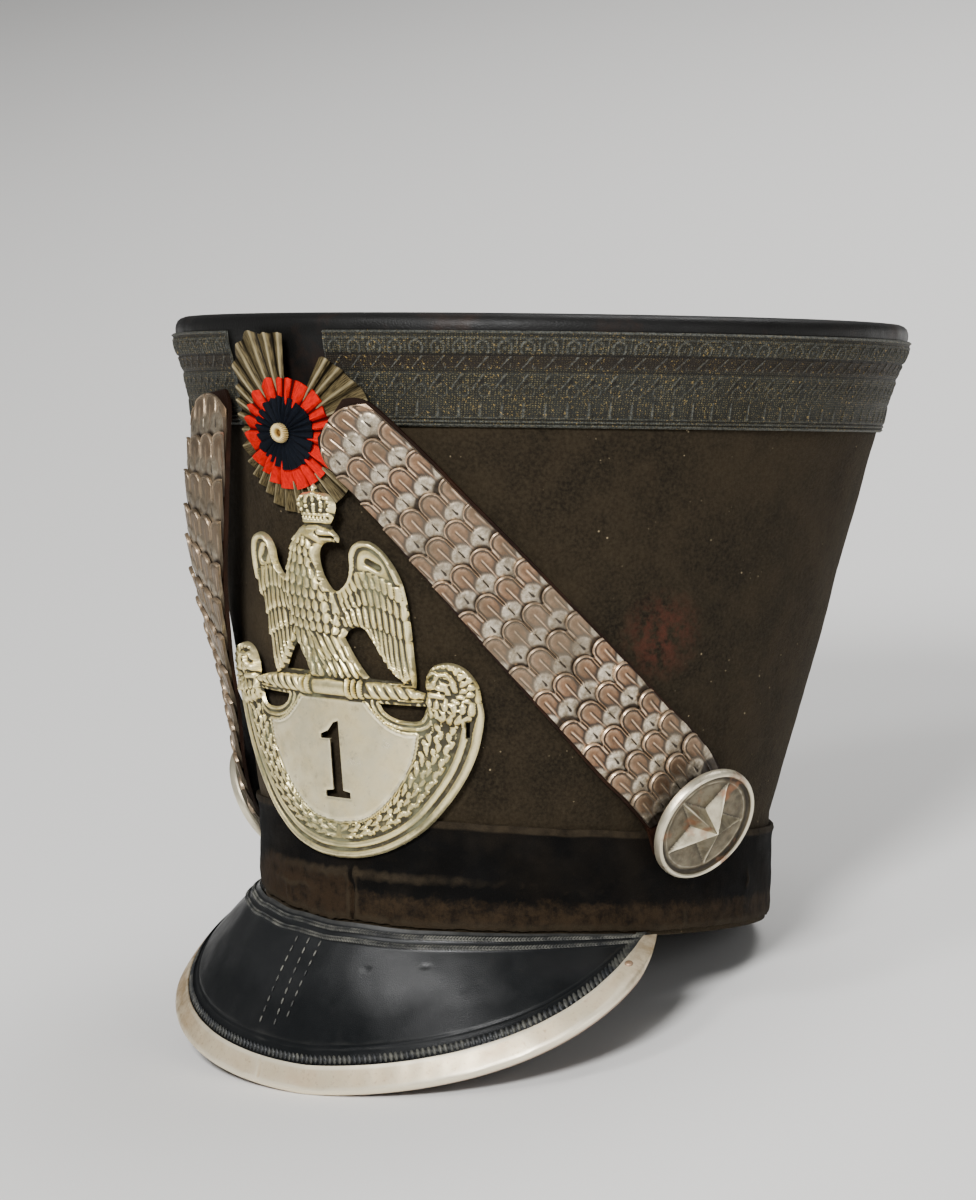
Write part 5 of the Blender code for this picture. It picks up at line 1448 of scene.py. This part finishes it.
def roundEnd(piece, longest, half):  # pulls the last scale's front edge back into a curve
    for vert in piece.data.vertices:
        a, s, _ = vert.co
        bulge = math.sqrt(max(1.0 - min(abs(a) / half, 1.0) ** 2, 0.0))
        limit = longest - half * (1.0 - bulge) * scale["endRound"]
        reach, calm = tongueReach(a, longest)[0], limit * 0.8
        if s > calm:
            vert.co.y = mix(calm, limit, (s - calm) / (reach - calm))


def layOnStrap(piece, path, start, half, tilt):  # trims a scale to the strap's width, then bends it
    for side in (half, -half):
        inEdit(piece, bpy.ops.mesh.bisect, plane_co=(side, 0, 0), plane_no=(math.copysign(1, side), 0, 0),
               use_fill=True, clear_outer=True)
    low = strap["thickness"] + peakTrim["gap"]
    for vert in piece.data.vertices:
        a, s, h = vert.co
        drop = scale["edgeDrop"] * min(abs(a) / half, 1.0) ** 4
        vert.co = strapPlace(path, start + s, a, low + tilt * max(s, 0.0) + h - drop)


def makeScales(side):
    path, count = paths[side], scaleSides[side]["count"]
    end = path[-1][0]
    pitch = (end - scale["start"] - scale["endLength"]) / count
    tip = pitch + scale["overlap"]
    tilt = (scale["thickness"] + scale["gap"]) / pitch
    longest = end - 1.0 - scale["start"] - pitch * count
    master, endMaster = makeMasterScale(tip, pitch), makeMasterScale(longest, longest - scale["overlap"])
    loose, slack = scale["shift"]
    dice = random.Random(scaleSides[side]["seed"])
    for i in range(count + 1):
        start = scale["start"] + pitch * i
        half = strapHalfWidth(path, start + pitch)
        piece = copyOf(endMaster if i == count else master, f"scale_{side}_{i + 1:02d}_look")
        shift = dice.uniform(-loose, loose) - (slack if i > 10 else 0.0)
        if i == count:
            roundEnd(piece, longest, half)
        else:
            turned = math.radians(scale["turns"][i] + dice.uniform(-scale["turn"], scale["turn"]))
            there, back = Matrix.Translation((shift, tip / 2, 0)), Matrix.Translation((0, -tip / 2, 0))
            piece.data.transform(there @ Matrix.Rotation(turned, 4, "Z") @ back)
        layOnStrap(piece, path, start, half, tilt)
        toneAndShade = dice.uniform(*scaleSides[side]["toneAndShade"])
        addPointValue(piece, "toneAndShade", [toneAndShade] * len(piece.data.vertices))
        finishPiece(piece, scaleMetal, f"scale_{side}_{i + 1:02d}", smoothAngle=35.0)
    bpy.data.objects.remove(master)
    bpy.data.objects.remove(endMaster)


for side in paths:
    makeScales(side)
print("scales made")


# bosses: a raised rim round a five-pointed star, on a post; radius and height along the rim's section
boss = {"turn": 78.0, "height": 38.0, "out": 10.8, "droop": 26.0, "field": 1.5, "apex": 8.6,
        "star": (16.5, 6.4), "starTurn": 14.0, "post": 4.0, "postDepth": 9.0, "columns": 240,
        "fieldRows": 38, "fieldRadius": 17.0, "lip": (0.35, 16.2, 0.8), "ripple": (0.12, 2.5),
        "rim": ((17.5, 1.6), (18.05, 1.9), (18.3, 2.7), (18.7, 3.1), (19.2, 3.15), (19.7, 2.8), (20.05, 2.1),
                (20.2, 1.2), (20.15, 0.5), (19.8, 0.0))}


def starShare(angle, radius):  # 1 at the star's middle, 0 at its edge and beyond
    tipRadius, valleyRadius = boss["star"]
    step = math.radians(36.0)
    beside = abs((angle - math.radians(boss["starTurn"]) + step) % (2 * step) - step)
    tip = Vector((tipRadius, 0.0))
    edge = Vector((valleyRadius * math.cos(step), valleyRadius * math.sin(step))) - tip
    ray = Vector((math.cos(beside), math.sin(beside)))
    reach = (tip.x * edge.y - tip.y * edge.x) / (ray.x * edge.y - ray.y * edge.x)
    return max(0.0, 1.0 - radius / reach)


def makeBoss(name, node, side):
    turn = side * boss["turn"]
    centre = bodyPoint(turn, boss["height"], boss["out"])
    level = bodyPoint(turn, boss["height"], 1.0) - bodyPoint(turn, boss["height"])
    droop, upright = math.radians(boss["droop"]), Vector((0, 0, 1))
    axis = level.normalized() * math.cos(droop) - upright * math.sin(droop)
    right = upright.cross(axis).normalized()
    upward = axis.cross(right)
    post, depth = boss["post"], boss["postDepth"]
    rows = [(boss["fieldRadius"] * i / boss["fieldRows"], None) for i in range(boss["fieldRows"] + 1)]
    rows += [*boss["rim"], (12.0, 0.0), (post, 0.0), (post, -depth), (0.0, -depth)]
    lip, lipRadius, lipWidth = boss["lip"]
    ripple, rippleSize = boss["ripple"]

    def place(u, v):
        angle = math.tau * u
        r, h = rows[round(v * (len(rows) - 1))]
        if h is None:
            h = boss["field"] + (boss["apex"] - boss["field"]) * starShare(angle, r)
            h += lip * math.exp(-((r - lipRadius) / lipWidth) ** 2)
            h += ripple * lumps(Vector((r * math.sin(angle), r * math.cos(angle), 0)), rippleSize)
        return centre + right * (r * math.sin(angle)) + upward * (r * math.cos(angle)) + axis * h

    def onStar(spot):
        x, y = spot.dot(right), spot.dot(upward)
        return spot.dot(axis) > 1.0 and starShare(math.atan2(x, y), math.hypot(x, y)) > 0.0

    piece = gridPiece(name, boss["columns"], len(rows) - 1, place, closed=True)
    markHollows(piece, 0.6, 8)
    addPointValue(piece, "star", [onStar(vert.co - centre) for vert in piece.data.vertices])
    faceOut(piece)
    return finishPiece(piece, bossMetal, node, smoothAngle=25.0)


makeBoss("boss_right_look", "boss_right", 1)
makeBoss("boss_left_look", "boss_left", -1)
print("bosses made")


# cockade: three pleated ribbons and a bead of gold thread, hanging a little forward of the felt
cockade = {"centre": (-7.5, 163.8), "out": 4.2, "across": 0.027, "above": 0.05, "below": 0.12, "hub": 12.3,
           "hubOut": -0.55, "threads": 26,
           "silverRadii": ((20.0, 24.0), (34.0, 29.5), (70.0, 33.0), (84.0, 31.0), (120.0, 27.0),
                           (180.0, 26.5), (235.0, 25.0), (270.0, 24.0), (300.0, 28.0), (318.0, 36.0),
                           (331.0, 37.4), (345.0, 33.8), (358.0, 32.4)),
           "bead": ((0.0, 4.2), (2.8, 4.2), (3.2, 4.9), (3.2, 5.7), (2.9, 6.6), (2.3, 7.0), (1.7, 6.7),
                    (1.2, 5.7), (0.7, 5.2), (0.0, 5.1))}
ribbons = {"silver": {"inner": 7.0, "lift": 0.5, "pleats": 31, "depth": 1.7, "thickness": 0.5, "from": 30.0,
                      "to": 359.0, "uneven": 0.8, "sink": 0.8, "steep": 0.72},
           "red": {"inner": 6.5, "outer": 18.5, "lift": 2.3, "pleats": 20, "depth": 2.1, "thickness": 0.5,
                   "from": 0.0, "to": 360.0, "uneven": 1.0, "sink": 0.5, "steep": 0.78},
           "blue": {"inner": 2.4, "outer": 12.0, "lift": 3.8, "pleats": 24, "depth": 1.0, "thickness": 0.5,
                    "from": 0.0, "to": 360.0, "uneven": 0.5, "sink": 0.3, "steep": 0.6}}


def cockadePoint(radius, clock, lift):
    a = math.radians(clock)
    u, v = radius * math.sin(a), radius * math.cos(a)
    base = cockade["out"] + cockade["across"] * u + cockade["above" if v > 0.0 else "below"] * v
    return frontPoint(cockade["centre"][0] + u, cockade["centre"][1] + v, base + lift)


def makeRibbon(name, finish, *nodes):
    ring = ribbons[name]
    whole = ring["to"] - ring["from"] >= 360.0
    dice = random.Random(len(name))
    jitter = [(dice.uniform(-1, 1), dice.uniform(-1, 1)) for _ in range(ring["pleats"] + 1)]

    def fold(u):  # a flat fold rising to a sharp ridge, then falling steeply
        i, phase = divmod(u * ring["pleats"] + 0.2 * math.sin(u * 31.0), 1.0)
        across = phase / ring["steep"] if phase < ring["steep"] else (1.0 - phase) / (1.0 - ring["steep"])
        return int(i) % ring["pleats"], mix(across, ease(across), 0.5)

    def place(u, v):
        clock = mix(ring["from"], ring["to"], u)
        i, top = fold(u if u < 1.0 or not whole else 0.0)
        outer = ring.get("outer") or readRows(cockade["silverRadii"], clock)
        outer += ring["uneven"] * (jitter[i][0] * 0.6 - (1.0 - top) * 0.6)
        swell = math.sin(math.pi * min(v * 1.15, 1.0)) * 0.35
        lift = ring["lift"] + ring["depth"] * (top - 0.5) * (0.25 + 0.75 * v) + swell * ring["depth"] * top
        lift += jitter[i][1] * 0.35 * v - ring["sink"] * v * v
        return cockadePoint(mix(ring["inner"], outer, v), clock, lift)

    piece = gridPiece("cockade_ribbon_" + name, ring["pleats"] * 14, 18, place, closed=whole)
    markHollows(piece, 0.5, 8)
    thicken(piece, ring["thickness"])
    return finishPiece(piece, finish, *nodes, smoothAngle=50.0)


def makeHub():  # pad that holds the cockade off the felt
    rows = ((0.0, None), (cockade["hub"], None), (cockade["hub"], 0.0), (0.0, 0.0))
    x, z = cockade["centre"]

    def place(u, v):
        radius, lift = rows[round(v * 3)]
        if lift is None:
            a = math.tau * u
            return frontPoint(x + radius * math.sin(a), z + radius * math.cos(a), cockade["hubOut"])
        return cockadePoint(radius, 360.0 * u, lift)

    piece = gridPiece("cockade_hub", 48, 3, place, closed=True)
    faceOut(piece)
    return finishPiece(piece, silverRibbon)


def makeBead():
    run = flatSmooth(cockade["bead"], 0.45)

    def place(u, v):
        radius, lift, _ = alongRun(run, v)
        thread = 0.5 + 0.5 * math.cos(math.tau * u * cockade["threads"])
        groove = 0.25 * thread * min(radius / 2.0, 1.0) * (lift > 4.6)
        return cockadePoint(radius * (1.0 - 0.1 * thread), 360.0 * u, lift - groove)

    piece = gridPiece("cockade_bead_look", cockade["threads"] * 6, len(run) - 1, place, closed=True)
    faceOut(piece)
    markHollows(piece, 0.2, 5)
    return finishPiece(piece, goldThread, "cockade_bead", smoothAngle=60.0)


makeRibbon("silver", silverRibbon, "cockade_silver")
makeRibbon("red", redRibbon, "cockade_red")
makeRibbon("blue", blueRibbon, "cockade_blue")
makeHub()
makeBead()
print("cockade made")


# stitches of the peak: one low grain, copied along its rows
stitchRows = {"braid": ((2.8, 1.07), (6.2, 1.07)), "braidSize": (0.78, 0.31, 0.27), "slant": 34.0,
              "braidLift": 0.52, "whipFrom": 9.4, "whipTo": 12.6, "whipEvery": 1.9, "whipRadius": 0.72,
              "whipHeight": 0.4, "whipLift": 0.5, "dashSize": (1.2, 0.38, 0.28), "dashEvery": 3.6,
              "dashLift": 0.18, "dashes": (((-0.15, 0.1), (-0.2, 0.7)), ((-0.1, 0.09), (-0.142, 0.7)),
                                           ((-0.05, 0.09), (-0.1, 0.62)))}


def peakSpan(u):  # length of the leather below the joint at u, and the directions along, down and outwards
    top, low = peakPoint(u, 0.0), peakPoint(u, 1.0)
    down = (peakPoint(u, 0.55) - peakPoint(u, 0.45)).normalized()
    along = (peakPoint(u + 0.004, 0.5) - peakPoint(u - 0.004, 0.5)).normalized()
    return (low - top).length, along, down, along.cross(down) * -1


def evenSteps(place, every, low=-0.95, high=0.95):  # values from low to high whose places lie evenly apart
    steps, run, last, length = 1200, [], place(low), 0.0
    for i in range(steps + 1):
        value = mix(low, high, i / steps)
        point = place(value)
        length += (point - last).length
        last = point
        if length >= every:
            run.append(value)
            length -= every
    return run


def makeStitches():
    rows, stitches, whips = stitchRows, [], []
    deselectAll()
    bpy.ops.mesh.primitive_uv_sphere_add(segments=6, ring_count=4, radius=1.0)
    master = bpy.context.object
    inEdit(master, bpy.ops.transform.rotate, value=math.pi / 2, orient_axis="Y")

    def stitch(pile, *lay):
        pile.append(copyOf(master, "stitch"))
        setOn(pile[-1], *lay)

    slant = math.radians(rows["slant"])
    for below, every in rows["braid"]:
        for u in evenSteps(lambda u: peakPoint(u, below / peakSpan(u)[0]), every):
            span, along, down, outward = peakSpan(u)
            for side in (-1, 1):
                heading = along * math.cos(slant) + down * side * math.sin(slant)
                spot = peakPoint(u, (below + 0.45 * side) / span, rows["braidLift"])
                stitch(stitches, spot, heading, outward, rows["braidSize"])
    for u in evenSteps(lambda u: peakPoint(u, peakShare(u, rows["whipFrom"])), rows["whipEvery"]):
        inner, outer = (peakPoint(u, peakShare(u, rows[at]), rows["whipLift"])
                        for at in ("whipTo", "whipFrom"))
        _, along, _, outward = peakSpan(u)
        radial = outer - inner
        heading = (radial.normalized() + along * 0.35).normalized()
        size = (radial.length / 2, rows["whipRadius"], rows["whipHeight"])
        stitch(whips, (inner + outer) / 2, heading, outward, size)
    for (u0, v0), (u1, v1) in rows["dashes"]:
        def dashPlace(t, lift=0.0):
            return peakPoint(mix(u0, u1, t), mix(v0, v1, t), lift)
        for t in evenSteps(dashPlace, rows["dashEvery"], 0.0, 1.0):
            heading = (dashPlace(t + 0.01) - dashPlace(t - 0.01)).normalized()
            outward = peakSpan(mix(u0, u1, t))[3]
            stitch(stitches, dashPlace(t, rows["dashLift"]), heading, outward, rows["dashSize"])
    bpy.data.objects.remove(master)
    finishPiece(joinPieces("peak_stitches", stitches), peakThread, smoothAngle=80.0)
    finishPiece(joinPieces("peak_whipping", whips), peakWhip, smoothAngle=80.0)


makeStitches()
print("stitches made")


# floor and light

def addFloor():
    deselectAll()
    bpy.ops.mesh.primitive_plane_add(size=30.0)
    floor = bpy.context.object
    floor.name = floor.data.name = "floor"
    paint = bpy.data.materials.new("floor")
    paint.use_nodes = True
    sockets = paint.node_tree.nodes["Principled BSDF"].inputs
    sockets["Base Color"].default_value = (0.8, 0.79, 0.77, 1.0)
    sockets["Roughness"].default_value = 0.9
    floor.data.materials.append(paint)


def addLight(name, place, size, watts, target=(0.0, 0.0, 0.13)):
    data = bpy.data.lights.new(name, "AREA")
    data.shape = "DISK"
    data.size = size
    data.energy = watts
    light = bpy.data.objects.new(name, data)
    light.location = place
    light.rotation_euler = (Vector(target) - Vector(place)).to_track_quat("-Z", "Y").to_euler()
    link(light)


def addWorld(strength):
    world = bpy.data.worlds.new("studio")
    world.use_nodes = True
    sockets = world.node_tree.nodes["Background"].inputs
    sockets["Color"].default_value = (1.0, 1.0, 1.0, 1.0)
    sockets["Strength"].default_value = strength
    bpy.context.scene.world = world


addFloor()
addLight("key", (0.6, -1.6, 1.4), 0.6, 56.0)
addLight("fill", (1.9, -0.4, 0.6), 1.0, 8.5)
addLight("side", (-1.6, -0.7, 0.7), 0.9, 0.8)
addLight("above", (0.2, 0.9, 1.7), 1.0, 12.0)
addLight("gleam", (-0.4, -0.96, 1.54), 0.42, 7.0)
addLight("back", (0.0, 1.8, 2.2), 1.6, 75.0, target=(-0.6, 3.2, 0.0))
addWorld(0.15)

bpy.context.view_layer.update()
print("scene made")
